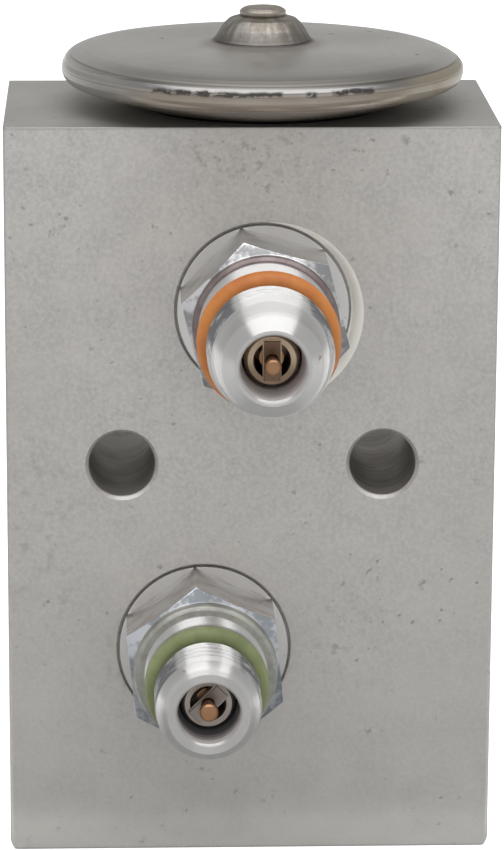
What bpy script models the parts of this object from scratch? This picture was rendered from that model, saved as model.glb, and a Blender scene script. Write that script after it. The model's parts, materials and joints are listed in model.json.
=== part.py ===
"""Block expansion valve for a vehicle air-conditioning circuit.

An aluminium block carries a steel power head on top and two service fittings on its front face.
The diaphragm in the head pushes a rod down onto a ball, which meters liquid from the inlet at the
left to the outlet at the right. A spring under the ball closes it. Suction vapour passes straight
through the block above, round the rod. Each service fitting holds a spring-loaded valve core.

Metres, +Z up, the front face towards -Y. The origin is under the middle of the overall box.
"""

import math

import bmesh
import bpy

MM = 0.001

# Clearances
GAP = 0.3 * MM
RUNNING_GAP = 0.12 * MM
CUT_PAST = 1.0 * MM

# Block
BLOCK_WIDTH = 44.45 * MM
BLOCK_DEPTH = 25.4 * MM
BLOCK_HEIGHT = 68.0 * MM
FOOT_ROUND = 1.0 * MM
SIDE_ROUND = 0.4 * MM
TOP_ROUND = 0.15 * MM
STEM_X = 1.35 * MM

# Bracket holes, front to back
BRACKET_HOLE_RADIUS = 3.05 * MM
BRACKET_HOLE_SPACING = 23.8 * MM
BRACKET_HOLE_HEIGHT = 37.1 * MM
BRACKET_HOLE_CHAMFER = 0.45 * MM

# Pipe ports, in the left and right faces
SUCTION_DROP = 16.64 * MM
SUCTION_HEIGHT = BLOCK_HEIGHT - SUCTION_DROP
SUCTION_RADIUS = 5.5 * MM
SUCTION_PORT_RADIUS = 7.6 * MM
LIQUID_HEIGHT = 19.55 * MM
LIQUID_RADIUS = 3.4 * MM
LIQUID_PORT_RADIUS = 5.0 * MM
OUTLET_HEIGHT = 27.5 * MM
OUTLET_RADIUS = 4.3 * MM
OUTLET_PORT_RADIUS = 5.5 * MM
PORT_DEPTH = 8.0 * MM
PORT_CHAMFER = 0.6 * MM
PLATE_SCREW_RADIUS = 2.5 * MM
PLATE_SCREW_HEIGHT = 38.4 * MM
PLATE_SCREW_DEPTH = 6.3 * MM
PLATE_SCREW_CHAMFER = 0.4 * MM

# Power head: radii from its axis
RIM_RADIUS = 18.42 * MM
RIM_ROUND = 1.5 * MM
LIP_WIDTH = 0.92 * MM
SHELL_THICKNESS = 0.9 * MM
DISH_FLAT_RADIUS = 12.0 * MM
DISH_DEPTH = 3.3 * MM
DOME_HEIGHT = 1.95 * MM
DOME_DROP = 0.95 * MM
NECK_RADIUS = 9.3 * MM
NECK_BORE_RADIUS = 5.5 * MM
NECK_WALL = 1.04 * MM
NECK_CHAMFER = 0.5 * MM
NECK_VENT_RADIUS = 4.5 * MM
HEAD_SEAL_SECTION = 0.6 * MM
DIAPHRAGM_THICKNESS = 0.2 * MM
DIAPHRAGM_CLAMP = 1.4 * MM
CORRUGATION_HEIGHT = 0.18 * MM
CORRUGATION_COUNT = 2

# The head sits a little out of square, its left side high
HEAD_TILT = math.radians(0.95)

# Charge plug, welded over the filling hole of the head
PLUG_BASE_RADIUS = 4.35 * MM
PLUG_BASE_HEIGHT = 1.45 * MM
PLUG_CONE_HEIGHT = 0.9 * MM
PLUG_CAP_RADIUS = 2.14 * MM
PLUG_CAP_HEIGHT = 0.75 * MM
PLUG_CAP_UNDERCUT = 20.0
PLUG_SHANK_RADIUS = 1.2 * MM

# Valve train on the stem axis
STEM_TRAVEL = 0.8 * MM
PUSHER_RADIUS = 8.0 * MM
PUSHER_EDGE = 0.25 * MM
PUSHER_BOSS_RADIUS = 3.0 * MM
PUSHER_BOSS_LENGTH = 3.7 * MM
ROD_RADIUS = 1.2 * MM
ROD_SOCKET_DEPTH = 2.8 * MM
ROD_TIP_RADIUS = 0.85 * MM
ROD_SEAL_SECTION = 0.6 * MM
RETAINER_THICKNESS = 0.5 * MM
ORIFICE_RADIUS = 1.7 * MM
ORIFICE_LENGTH = 1.9 * MM
BALL_RADIUS = 2.4 * MM
CHAMBER_RADIUS = 5.0 * MM
CARRIER_HEAD_RADIUS = 2.6 * MM
CARRIER_HEAD_LENGTH = 1.9 * MM
CARRIER_FLANGE_THICKNESS = 1.2 * MM
CARRIER_STEM_LENGTH = 2.1 * MM
SPRING_RADIUS = 3.3 * MM
SPRING_WIRE = 0.5 * MM
SPRING_TURNS = 5

# Adjusting plug, in the foot of the block
ADJUSTER_RADIUS = 6.1 * MM
ADJUSTER_LENGTH = 5.5 * MM
ADJUSTER_RECESS = 1.0 * MM
ADJUSTER_CHAMFER = 0.5 * MM
ADJUSTER_SOCKET_WIDTH = 5.0 * MM
ADJUSTER_SOCKET_DEPTH = 3.0 * MM
ADJUSTER_BOSS_HEIGHT = 1.5 * MM
ADJUSTER_SEAL_SECTION = 0.6 * MM

# Service fittings: what both have, measured out from the block's front face
HEX_WIDTH = 13.45 * MM
HEX_FRONT = 5.9 * MM
HEX_CHAMFER = 0.35 * MM
FLANGE_RADIUS = 7.6 * MM
FLANGE_FRONT = -0.05 * MM
SPOTFACE_RADIUS = 7.94 * MM
SPOTFACE_DEPTH = 0.8 * MM
SPOTFACE_CHAMFER = 0.3 * MM
SHANK_RADIUS = 4.6 * MM
SHANK_DEPTH = 6.2 * MM
SHANK_NECK_RADIUS = 4.2 * MM
PORT_SEAL_SECTION = 0.6 * MM
TAP_PASSAGE_RADIUS = 1.6 * MM

# Valve core, measured in from the fitting's mouth
CORE_BORE_RADIUS = 2.6 * MM
CORE_LOWER_BORE_RADIUS = 1.9 * MM
CORE_MOUTH_DEPTH = 2.6 * MM
CORE_SEAT_DEPTH = 9.0 * MM
CORE_RIM_DEPTH = 3.2 * MM
BRIDGE_DEPTH = 2.4 * MM
BRIDGE_THICKNESS = 1.5 * MM
BRIDGE_WIDTH = 1.9 * MM
CORE_LENGTH = 9.3 * MM
CORE_SPRING_BORE = 1.35 * MM
CORE_SPRING_FLOOR = 7.5 * MM
CORE_SEAL_LENGTH = 0.7 * MM
CORE_SEAL_THICKNESS = 0.4 * MM
PIN_DEPTH = 0.3 * MM
PIN_RADIUS = 0.5 * MM
PIN_COLLAR_THICKNESS = 0.4 * MM
PIN_DISC_RADIUS = 1.3 * MM
PIN_DISC_THICKNESS = 1.0 * MM
PIN_TRAVEL = 1.0 * MM
CORE_SPRING_WIRE = 0.12 * MM
CORE_SPRING_TURNS = 4

# Service fittings: what differs. The low side has a 7/16 in thread, the high side a 3/8 in one.
# Lengths are measured out from the block's front face.
LOW_SIDE = {
    "name": "low_side",
    "x": 1.0 * MM,
    "z": SUCTION_HEIGHT,
    "hex_turn": 15.0,
    "collar_radius": 6.6 * MM,
    "collar_front": 8.0 * MM,
    "land_radius": 5.96 * MM,
    "land_front": 11.4 * MM,
    "undercut_radius": 4.0 * MM,
    "undercut_length": 2.6 * MM,
    "ring_radius": 5.32 * MM,
    "ring_section": 1.0 * MM,
    "thread_radius": 5.5 * MM,
    "thread_front": 17.6 * MM,
    "nose_radius": 4.95 * MM,
    "nose_start": 18.6 * MM,
    "shoulder_radius": 4.82 * MM,
    "shoulder_start": 20.1 * MM,
    "cone_radius": 4.4 * MM,
    "cone_start": 21.4 * MM,
    "tip_radius": 3.3 * MM,
    "tip": 22.5 * MM,
    "mouth_radius": 2.85 * MM,
    "pin_head_radius": 0.65 * MM,
    "bridge_turn": 90.0,
}
HIGH_SIDE = {
    "name": "high_side",
    "x": -4.3 * MM,
    "z": LIQUID_HEIGHT,
    "hex_turn": 6.0,
    "collar_radius": 6.25 * MM,
    "collar_front": 8.2 * MM,
    "land_radius": 5.5 * MM,
    "land_front": 10.25 * MM,
    "undercut_radius": 3.55 * MM,
    "undercut_length": 2.6 * MM,
    "ring_radius": 4.72 * MM,
    "ring_section": 0.85 * MM,
    "thread_radius": 4.72 * MM,
    "thread_front": 17.2 * MM,
    "nose_radius": 4.6 * MM,
    "nose_start": 17.8 * MM,
    "shoulder_radius": 4.45 * MM,
    "shoulder_start": 18.3 * MM,
    "cone_radius": 4.25 * MM,
    "cone_start": 18.7 * MM,
    "tip_radius": 3.65 * MM,
    "tip": 19.2 * MM,
    "mouth_radius": 2.78 * MM,
    "pin_head_radius": 0.8 * MM,
    "bridge_turn": 45.0,
}

# Facets round each kind of turned surface
SHELL_FACETS = 32
ROUND_FACETS = 24
SMALL_FACETS = 16
RING_SECTION_FACETS = 8
SMOOTH_ANGLE = math.radians(25)
RUBBER_SMOOTH_ANGLE = math.radians(60)

# What follows from the sizes above
HALF_WIDTH = BLOCK_WIDTH / 2
HALF_DEPTH = BLOCK_DEPTH / 2
HEAD_BOTTOM = BLOCK_HEIGHT + GAP
NECK_BOTTOM = SUCTION_HEIGHT + SUCTION_PORT_RADIUS + NECK_WALL
SEAM_HEIGHT = HEAD_BOTTOM + DISH_DEPTH
DOME_TOP = SEAM_HEIGHT + DOME_HEIGHT
DIAPHRAGM_BOTTOM = SEAM_HEIGHT - DIAPHRAGM_THICKNESS / 2
DIAPHRAGM_TOP = SEAM_HEIGHT + DIAPHRAGM_THICKNESS / 2
DIAPHRAGM_RADIUS = RIM_RADIUS - LIP_WIDTH - GAP
PUSHER_TOP = DIAPHRAGM_BOTTOM - GAP
PUSHER_BOTTOM = HEAD_BOTTOM + SHELL_THICKNESS + STEM_TRAVEL + GAP
ROD_TOP = PUSHER_BOTTOM - PUSHER_BOSS_LENGTH + ROD_SOCKET_DEPTH - GAP
ORIFICE_TOP = OUTLET_HEIGHT - OUTLET_RADIUS
CHAMBER_TOP = ORIFICE_TOP - ORIFICE_LENGTH
BALL_HEIGHT = CHAMBER_TOP - math.sqrt(BALL_RADIUS**2 - ORIFICE_RADIUS**2) - GAP
SUCTION_FLOOR = SUCTION_HEIGHT - SUCTION_RADIUS
GUIDE_RADIUS = ROD_RADIUS + GAP
ROD_SEAL_RADIUS = GUIDE_RADIUS + ROD_SEAL_SECTION
ROD_SEAL_POCKET = ROD_SEAL_RADIUS + ROD_SEAL_SECTION + GAP
RETAINER_TOP = SUCTION_FLOOR - GAP
RETAINER_BOTTOM = RETAINER_TOP - RETAINER_THICKNESS
ROD_SEAL_HEIGHT = RETAINER_BOTTOM - GAP - ROD_SEAL_SECTION
ROD_SEAL_FLOOR = ROD_SEAL_HEIGHT - ROD_SEAL_SECTION - GAP
CARRIER_DIMPLE = BALL_RADIUS + GAP
CARRIER_RIM_RADIUS = CARRIER_HEAD_RADIUS - GAP
CARRIER_RIM = BALL_HEIGHT - math.sqrt(CARRIER_DIMPLE**2 - CARRIER_RIM_RADIUS**2)
CARRIER_FLANGE_TOP = CARRIER_RIM - CARRIER_HEAD_LENGTH
CARRIER_FLANGE_BOTTOM = CARRIER_FLANGE_TOP - CARRIER_FLANGE_THICKNESS
CARRIER_FLANGE_RADIUS = CHAMBER_RADIUS - GAP
CARRIER_STEM_RADIUS = SPRING_RADIUS - SPRING_WIRE - GAP
ADJUSTER_TOP = ADJUSTER_RECESS + ADJUSTER_LENGTH
ADJUSTER_BORE = ADJUSTER_RADIUS + GAP
ADJUSTER_SEAL_RADIUS = ADJUSTER_BORE - GAP / 2 - ADJUSTER_SEAL_SECTION
ADJUSTER_SEAL_HEIGHT = ADJUSTER_RECESS + ADJUSTER_LENGTH / 2
FLANGE_BACK = GAP - SPOTFACE_DEPTH
HEX_BACK = (FLANGE_BACK + FLANGE_FRONT) / 2
PORT_SEAL_DEPTH = SPOTFACE_DEPTH + PORT_SEAL_SECTION
PORT_SEAL_RADIUS = SHANK_NECK_RADIUS + GAP + PORT_SEAL_SECTION
PORT_SEAL_FLOOR = PORT_SEAL_DEPTH + PORT_SEAL_SECTION + GAP
CORE_RADIUS = CORE_BORE_RADIUS - GAP
CORE_LOWER_RADIUS = CORE_LOWER_BORE_RADIUS - GAP
CORE_SEAL_TOP = CORE_SEAT_DEPTH - GAP - CORE_SEAL_LENGTH
CORE_END = CORE_RIM_DEPTH + CORE_LENGTH
PIN_COLLAR_TOP = BRIDGE_DEPTH + BRIDGE_THICKNESS + GAP
PIN_HEAD_LENGTH = BRIDGE_DEPTH - PIN_DEPTH - PIN_TRAVEL - GAP
FRONT_REACH = HALF_DEPTH + max(LOW_SIDE["tip"], HIGH_SIDE["tip"])
REAR_REACH = max(HALF_DEPTH, RIM_RADIUS)
BLOCK_Y = (FRONT_REACH - REAR_REACH) / 2

PART_COLLECTION = "block_expansion_valve"
CUTTER_COLLECTION = "cutters"


# Scene and object helpers

def clear_scene():
    """Empty the scene and make the two collections."""
    for obj in list(bpy.data.objects):
        bpy.data.objects.remove(obj, do_unlink=True)
    for name in (PART_COLLECTION, CUTTER_COLLECTION):
        bpy.context.scene.collection.children.link(bpy.data.collections.new(name))


def make_material(name, colour, roughness, metallic):
    """A plain Principled material."""
    material = bpy.data.materials.new(name)
    material.use_nodes = True
    shader = material.node_tree.nodes["Principled BSDF"]
    shader.inputs["Base Color"].default_value = (*colour, 1.0)
    shader.inputs["Roughness"].default_value = roughness
    shader.inputs["Metallic"].default_value = metallic
    material.diffuse_color = (*colour, 1.0)
    return material


def make_object(name, data, parent, location=(0, 0, 0), material=None):
    """Link a new object under its parent, as a part if it has a material, else as a cutter."""
    obj = bpy.data.objects.new(name, data)
    obj.parent = parent
    obj.location = location
    if material:
        obj.data.materials.append(material)
        bpy.data.collections[PART_COLLECTION].objects.link(obj)
    else:
        bpy.data.collections[CUTTER_COLLECTION].objects.link(obj)
        obj.hide_render = True
        obj.display_type = "WIRE"
    return obj


def make_axis(name, parent, location, rotation=(0, 0, 0)):
    """An empty whose local Z is the axis that its children are turned or slide on."""
    empty = bpy.data.objects.new(name, None)
    empty.parent = parent
    empty.location = location
    empty.rotation_euler = rotation
    empty.empty_display_size = 5 * MM
    bpy.data.collections[PART_COLLECTION].objects.link(empty)
    return empty


def mesh_from(name, bm):
    """Turn a bmesh into mesh data."""
    mesh = bpy.data.meshes.new(name)
    bm.to_mesh(mesh)
    bm.free()
    return mesh


def turned(name, profile, parent, facets, material=None, closed=False, location=(0, 0, 0)):
    """Spin a profile of (radius, height) points, listed down its outer side, round local Z.

    An open profile starts and ends on the axis. A closed one is a ring with its own bore.
    """
    bm = bmesh.new()
    verts = [bm.verts.new((radius, 0, height)) for radius, height in profile]
    for a, b in zip(verts, verts[1:]):
        bm.edges.new((a, b))
    if closed:
        bm.edges.new((verts[-1], verts[0]))
    obj = make_object(name, mesh_from(name, bm), parent, location, material)
    screw = obj.modifiers.new("spin", "SCREW")
    screw.steps = screw.render_steps = facets
    screw.use_merge_vertices = True
    screw.merge_threshold = 0.00001
    return obj


def prism(name, width, bottom, top, turn, sides, parent, material=None):
    """A regular prism, width across its flats, its first corner turned from local +Y by degrees."""
    bm = bmesh.new()
    radius = width / 2 / math.cos(math.pi / sides)
    bmesh.ops.create_cone(
        bm, cap_ends=True, segments=sides, radius1=radius, radius2=radius, depth=top - bottom
    )
    obj = make_object(name, mesh_from(name, bm), parent, (0, 0, (top + bottom) / 2), material)
    obj.rotation_euler = (0, 0, math.radians(turn))
    return obj


def box(name, size, centre, turn, parent, material=None):
    """A cuboid turned about local Z by degrees."""
    bm = bmesh.new()
    bmesh.ops.create_cube(bm, size=1)
    bmesh.ops.scale(bm, vec=size, verts=bm.verts)
    obj = make_object(name, mesh_from(name, bm), parent, centre, material)
    obj.rotation_euler = (0, 0, math.radians(turn))
    return obj


def ring(name, radius, section, height, parent, material, facets=SMALL_FACETS):
    """A round-section sealing ring."""
    points = [
        (radius + section * math.cos(a), height + section * math.sin(a))
        for a in (-2 * math.pi * k / RING_SECTION_FACETS for k in range(RING_SECTION_FACETS))
    ]
    return turned(name, points, parent, facets, material, closed=True)


def helix(name, radius, wire, bottom, top, turns, points_a_turn, parent, material):
    """A coil spring along local Z whose wire ends lie at bottom and top."""
    curve = bpy.data.curves.new(name, "CURVE")
    curve.dimensions = "3D"
    curve.bevel_depth = wire
    curve.bevel_resolution = 2
    curve.use_fill_caps = True
    spline = curve.splines.new("POLY")
    count = turns * points_a_turn + 1
    spline.points.add(count - 1)
    rise = top - bottom - 2 * wire
    for k, point in enumerate(spline.points):
        share = k / (count - 1)
        angle = 2 * math.pi * turns * share
        height = bottom + wire + rise * share
        point.co = (radius * math.cos(angle), radius * math.sin(angle), height, 1)
    return make_object(name, curve, parent, material=material)


def arc(centre, radii, start, end, count):
    """Points on an ellipse about centre, from start to end in degrees."""
    angles = [math.radians(start + (end - start) * k / count) for k in range(count + 1)]
    return [
        (centre[0] + radii[0] * math.cos(a), centre[1] + radii[1] * math.sin(a)) for a in angles
    ]


def combine(obj, operation, *others):
    """Add an exact Boolean for each other object."""
    for other in others:
        modifier = obj.modifiers.new(other.name, "BOOLEAN")
        modifier.operation = operation
        modifier.object = other
        modifier.solver = "EXACT"


def finish_shading(obj, angle):
    """Apply the modifiers, then shade smooth all but the edges sharper than the angle."""
    depsgraph = bpy.context.evaluated_depsgraph_get()
    mesh = bpy.data.meshes.new_from_object(obj.evaluated_get(depsgraph))
    obj.modifiers.clear()
    obj.data = mesh
    mesh.name = obj.name
    mesh.shade_smooth()
    mesh.set_sharp_from_angle(angle=angle)


# Block

def drilled(name, stations, parent, facets=ROUND_FACETS):
    """A cutter turned through (radius, height) stations, from its mouth down to its end."""
    profile = [(0, stations[0][1]), *stations, (0, stations[-1][1])]
    return turned(name, profile, parent, facets)


def chamfered_mouth(radius, face, chamfer, sign):
    """The stations of a chamfered mouth, from past the face inwards; sign is the way out."""
    return [
        (radius + chamfer + CUT_PAST, face + sign * CUT_PAST),
        (radius, face - sign * chamfer),
    ]


def bracket_hole_cutters(body):
    """The two smooth holes right through, front to back."""
    cutters = []
    for side, sign in (("left", -1), ("right", 1)):
        location = (sign * BRACKET_HOLE_SPACING / 2, 0, BRACKET_HOLE_HEIGHT)
        axis = make_axis(f"bracket_hole_axis_{side}", body, location, (math.pi / 2, 0, 0))
        front = chamfered_mouth(BRACKET_HOLE_RADIUS, HALF_DEPTH, BRACKET_HOLE_CHAMFER, 1)
        back = chamfered_mouth(BRACKET_HOLE_RADIUS, -HALF_DEPTH, BRACKET_HOLE_CHAMFER, -1)
        cutters.append(drilled(f"bracket_hole_{side}", front + back[::-1], axis))
    return cutters


def pipe_port_cutters(body):
    """The suction way, the liquid inlet, the metered outlet and the plate screw holes."""
    def across(name, height, start_x=0.0, turn=1):
        return make_axis(name, body, (start_x, 0, height), (0, turn * math.pi / 2, 0))

    def one_sided(name, height, port_radius, radius, inner_x, turn):
        face = HALF_WIDTH
        inner = turn * inner_x
        stations = chamfered_mouth(port_radius, face, PORT_CHAMFER, 1)
        stations += [(port_radius, face - PORT_DEPTH), (radius, face - PORT_DEPTH), (radius, inner)]
        return drilled(name, stations, across(f"{name}_axis", height, turn=turn))

    right = chamfered_mouth(SUCTION_PORT_RADIUS, HALF_WIDTH, PORT_CHAMFER, 1)
    right += [(SUCTION_PORT_RADIUS, HALF_WIDTH - PORT_DEPTH), (SUCTION_RADIUS, HALF_WIDTH - PORT_DEPTH)]
    left = [(radius, -x) for radius, x in right[::-1]]
    suction = drilled("suction_way", right + left, across("suction_axis", SUCTION_HEIGHT))
    liquid = one_sided(
        "liquid_inlet", LIQUID_HEIGHT, LIQUID_PORT_RADIUS, LIQUID_RADIUS,
        STEM_X - CHAMBER_RADIUS * 0.7, -1,
    )
    outlet = one_sided(
        "metered_outlet", OUTLET_HEIGHT, OUTLET_PORT_RADIUS, OUTLET_RADIUS,
        STEM_X - ORIFICE_RADIUS - GAP, 1,
    )
    cutters = [suction, liquid, outlet]
    for side, turn in (("left", -1), ("right", 1)):
        axis = across(f"plate_screw_axis_{side}", PLATE_SCREW_HEIGHT, turn=turn)
        mouth = chamfered_mouth(PLATE_SCREW_RADIUS, HALF_WIDTH, PLATE_SCREW_CHAMFER, 1)
        end = (PLATE_SCREW_RADIUS, HALF_WIDTH - PLATE_SCREW_DEPTH)
        cutters.append(drilled(f"plate_screw_{side}", mouth + [end], axis, SMALL_FACETS))
    return cutters


def stem_cutters(stem):
    """The bores on the stem axis, from the head's neck down to the foot of the block."""
    neck_bore = NECK_RADIUS + GAP
    seal_pocket = neck_bore + 2 * HEAD_SEAL_SECTION + GAP
    pocket_floor = HEAD_BOTTOM - 2 * GAP - 2 * HEAD_SEAL_SECTION - GAP
    neck_floor = NECK_BOTTOM - GAP
    neck = drilled(
        "neck_bore",
        [
            (seal_pocket, BLOCK_HEIGHT + CUT_PAST),
            (seal_pocket, pocket_floor),
            (neck_bore, pocket_floor),
            (neck_bore, neck_floor),
            (NECK_VENT_RADIUS, neck_floor),
            (NECK_VENT_RADIUS, SUCTION_HEIGHT),
        ],
        stem,
        SHELL_FACETS,
    )
    guide = drilled(
        "rod_guide",
        [
            (ROD_SEAL_POCKET, SUCTION_HEIGHT),
            (ROD_SEAL_POCKET, ROD_SEAL_FLOOR),
            (GUIDE_RADIUS, ROD_SEAL_FLOOR),
            (GUIDE_RADIUS, OUTLET_HEIGHT),
        ],
        stem,
        SMALL_FACETS,
    )
    shoulder = ADJUSTER_TOP + CUT_PAST
    chamber = drilled(
        "ball_chamber",
        [
            (ORIFICE_RADIUS, OUTLET_HEIGHT),
            (ORIFICE_RADIUS, CHAMBER_TOP),
            (CHAMBER_RADIUS, CHAMBER_TOP),
            (CHAMBER_RADIUS, shoulder),
            (ADJUSTER_BORE, shoulder),
            (ADJUSTER_BORE, ADJUSTER_CHAMFER),
            (ADJUSTER_BORE + ADJUSTER_CHAMFER + CUT_PAST, -CUT_PAST),
        ],
        stem,
    )
    return [neck, guide, chamber]


def service_port_cutter(side, axis):
    """Spotface, seal pocket, tapped hole and passage for one service fitting."""
    seal_pocket = PORT_SEAL_RADIUS + PORT_SEAL_SECTION + GAP
    tap_radius = SHANK_RADIUS + GAP
    tap_floor = -SHANK_DEPTH - GAP
    stations = chamfered_mouth(SPOTFACE_RADIUS, 0, SPOTFACE_CHAMFER, 1)
    stations += [
        (SPOTFACE_RADIUS, -SPOTFACE_DEPTH),
        (seal_pocket, -SPOTFACE_DEPTH),
        (seal_pocket, -PORT_SEAL_FLOOR),
        (tap_radius, -PORT_SEAL_FLOOR),
        (tap_radius, tap_floor),
        (TAP_PASSAGE_RADIUS, tap_floor),
        (TAP_PASSAGE_RADIUS, -HALF_DEPTH),
    ]
    return drilled(f"{side['name']}_port", stations, axis)


def make_block(body, stem, port_axes, material):
    """The machined block, with softened edges and every bore in it."""
    bm = bmesh.new()
    bmesh.ops.create_cube(bm, size=1)
    bmesh.ops.scale(bm, vec=(BLOCK_WIDTH, BLOCK_DEPTH, BLOCK_HEIGHT), verts=bm.verts)
    bmesh.ops.translate(bm, vec=(0, 0, BLOCK_HEIGHT / 2), verts=bm.verts)
    weight = bm.edges.layers.float.new("bevel_weight_edge")
    for edge in bm.edges:
        ends = [vert.co for vert in edge.verts]
        middle = (ends[0] + ends[1]) / 2
        along = ends[1] - ends[0]
        if abs(along.z) > 0:
            edge[weight] = SIDE_ROUND / FOOT_ROUND
        elif middle.z > BLOCK_HEIGHT / 2:
            edge[weight] = TOP_ROUND / FOOT_ROUND
        elif abs(along.y) > 0:
            edge[weight] = 1.0
        else:
            edge[weight] = TOP_ROUND / FOOT_ROUND
    block = make_object("valve_block", mesh_from("valve_block", bm), body, material=material)
    bevel = block.modifiers.new("edges", "BEVEL")
    bevel.limit_method = "WEIGHT"
    bevel.width = FOOT_ROUND
    bevel.segments = 3
    cutters = bracket_hole_cutters(body) + pipe_port_cutters(body) + stem_cutters(stem)
    for side, axis in port_axes:
        cutters.append(service_port_cutter(side, axis))
    combine(block, "DIFFERENCE", *cutters)
    return block


# Power head

def dome_height(radius, seat_radius, shoulder_radius):
    """Height of the upper shell's outside between its flat seat and its rim."""
    share = max(0.0, (radius - seat_radius) / (shoulder_radius - seat_radius))
    return DOME_TOP - DOME_DROP * share**2.5


def make_upper_shell(head, material):
    """The domed cover, with the charge plug's hole in its middle and a lip round its edge."""
    hole = PLUG_SHANK_RADIUS + GAP
    seat = PLUG_BASE_RADIUS + SHELL_THICKNESS
    shoulder = RIM_RADIUS - RIM_ROUND
    lip_bottom = SEAM_HEIGHT + GAP / 2
    clamp_face = DIAPHRAGM_TOP + GAP
    clamp_inner = DIAPHRAGM_RADIUS - DIAPHRAGM_CLAMP
    outer = [(hole, DOME_TOP)]
    dome_steps = 6
    for k in range(dome_steps + 1):
        radius = seat + (shoulder - seat) * k / dome_steps
        outer.append((radius, dome_height(radius, seat, shoulder)))
    rim_rise = DOME_TOP - DOME_DROP - lip_bottom
    outer += arc((shoulder, lip_bottom), (RIM_ROUND, rim_rise), 75, 0, 5)
    lip_inner = RIM_RADIUS - LIP_WIDTH
    inner = [(lip_inner, lip_bottom), (lip_inner, clamp_face), (clamp_inner, clamp_face)]
    for k in (4, 2, 0):
        radius = seat + (shoulder - seat) * k / dome_steps
        inner.append((radius, dome_height(radius, seat, shoulder) - SHELL_THICKNESS))
    inner.append((hole, DOME_TOP - SHELL_THICKNESS))
    return turned("head_upper_shell", outer + inner, head, SHELL_FACETS, material, closed=True)


def make_lower_shell(head, material):
    """The dish under the diaphragm, with the neck that screws into the block."""
    lip_top = SEAM_HEIGHT - GAP / 2
    lip_inner = RIM_RADIUS - LIP_WIDTH
    clamp_face = DIAPHRAGM_BOTTOM - GAP
    clamp_inner = DIAPHRAGM_RADIUS - DIAPHRAGM_CLAMP
    floor = HEAD_BOTTOM + SHELL_THICKNESS
    rim_drop = SHELL_THICKNESS + GAP
    rim_centre = (lip_inner, lip_top)
    outer = arc(rim_centre, (LIP_WIDTH, rim_drop), 0, -75, 5)
    outer += [
        (DISH_FLAT_RADIUS + GAP, HEAD_BOTTOM + GAP / 2),
        (DISH_FLAT_RADIUS - GAP, HEAD_BOTTOM),
        (NECK_RADIUS, HEAD_BOTTOM),
        (NECK_RADIUS, NECK_BOTTOM + NECK_CHAMFER),
        (NECK_RADIUS - NECK_CHAMFER, NECK_BOTTOM),
    ]
    inner = [
        (NECK_BORE_RADIUS, NECK_BOTTOM),
        (NECK_BORE_RADIUS, floor),
        (DISH_FLAT_RADIUS - SHELL_THICKNESS, floor),
        (clamp_inner, clamp_face),
        (lip_inner, clamp_face),
        (lip_inner, lip_top),
    ]
    return turned("head_lower_shell", outer + inner, head, SHELL_FACETS, material, closed=True)


def make_diaphragm(head, material):
    """The thin corrugated disc clamped between the shells."""
    inner = PUSHER_RADIUS
    outer = DIAPHRAGM_RADIUS - DIAPHRAGM_CLAMP
    steps = CORRUGATION_COUNT * 4
    wave = [
        (
            outer + (inner - outer) * k / steps,
            CORRUGATION_HEIGHT * math.sin(2 * math.pi * CORRUGATION_COUNT * k / steps),
        )
        for k in range(steps + 1)
    ]
    middle = [(DIAPHRAGM_RADIUS, 0.0), *wave]
    top = [(0, DIAPHRAGM_TOP)] + [(r, DIAPHRAGM_TOP + z) for r, z in middle[::-1]]
    bottom = [(r, DIAPHRAGM_BOTTOM + z) for r, z in middle] + [(0, DIAPHRAGM_BOTTOM)]
    return turned("diaphragm", top + bottom, head, ROUND_FACETS, material)


def make_charge_plug(head, material):
    """The plug over the filling hole: a shank, a coned weld collar and a mushroomed cap."""
    base = DOME_TOP + GAP
    collar_top = base + PLUG_BASE_HEIGHT
    cone_top = collar_top + PLUG_CONE_HEIGHT
    cap_top = cone_top + PLUG_CAP_HEIGHT
    cap_round = PLUG_CAP_HEIGHT * 0.4
    profile = [(0, cap_top)]
    profile += arc((PLUG_CAP_RADIUS - cap_round, cap_top - cap_round), (cap_round, cap_round), 90, -PLUG_CAP_UNDERCUT, 4)
    profile += [
        (PLUG_CAP_RADIUS - GAP, cone_top),
        (PLUG_CAP_RADIUS, cone_top),
        (PLUG_BASE_RADIUS * 0.85, collar_top),
        (PLUG_BASE_RADIUS * 0.96, base + PLUG_BASE_HEIGHT * 0.5),
        (PLUG_BASE_RADIUS, base),
        (PLUG_SHANK_RADIUS, base),
        (PLUG_SHANK_RADIUS, DOME_TOP - SHELL_THICKNESS),
        (0, DOME_TOP - SHELL_THICKNESS),
    ]
    return turned("charge_plug", profile, head, ROUND_FACETS, material)


def make_head_seal(stem, material):
    """The ring that seals the head's neck in the top of the block."""
    radius = NECK_RADIUS + GAP + HEAD_SEAL_SECTION
    height = HEAD_BOTTOM - GAP - HEAD_SEAL_SECTION
    return ring("head_seal_ring", radius, HEAD_SEAL_SECTION, height, stem, material, ROUND_FACETS)


# Valve train

def make_pusher(stem, material):
    """The plate under the diaphragm, with the boss that the rod stands in."""
    boss_bottom = PUSHER_BOTTOM - PUSHER_BOSS_LENGTH
    socket_top = boss_bottom + ROD_SOCKET_DEPTH
    socket_radius = ROD_RADIUS + GAP
    profile = [
        (0, PUSHER_TOP),
        (PUSHER_RADIUS - PUSHER_EDGE, PUSHER_TOP),
        (PUSHER_RADIUS, PUSHER_TOP - PUSHER_EDGE),
        (PUSHER_RADIUS, PUSHER_BOTTOM + PUSHER_EDGE),
        (PUSHER_RADIUS - PUSHER_EDGE, PUSHER_BOTTOM),
        (PUSHER_BOSS_RADIUS, PUSHER_BOTTOM),
        (PUSHER_BOSS_RADIUS, boss_bottom),
        (socket_radius, boss_bottom),
        (socket_radius, socket_top),
        (0, socket_top),
    ]
    return turned("pusher_plate", profile, stem, ROUND_FACETS, material)


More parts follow.
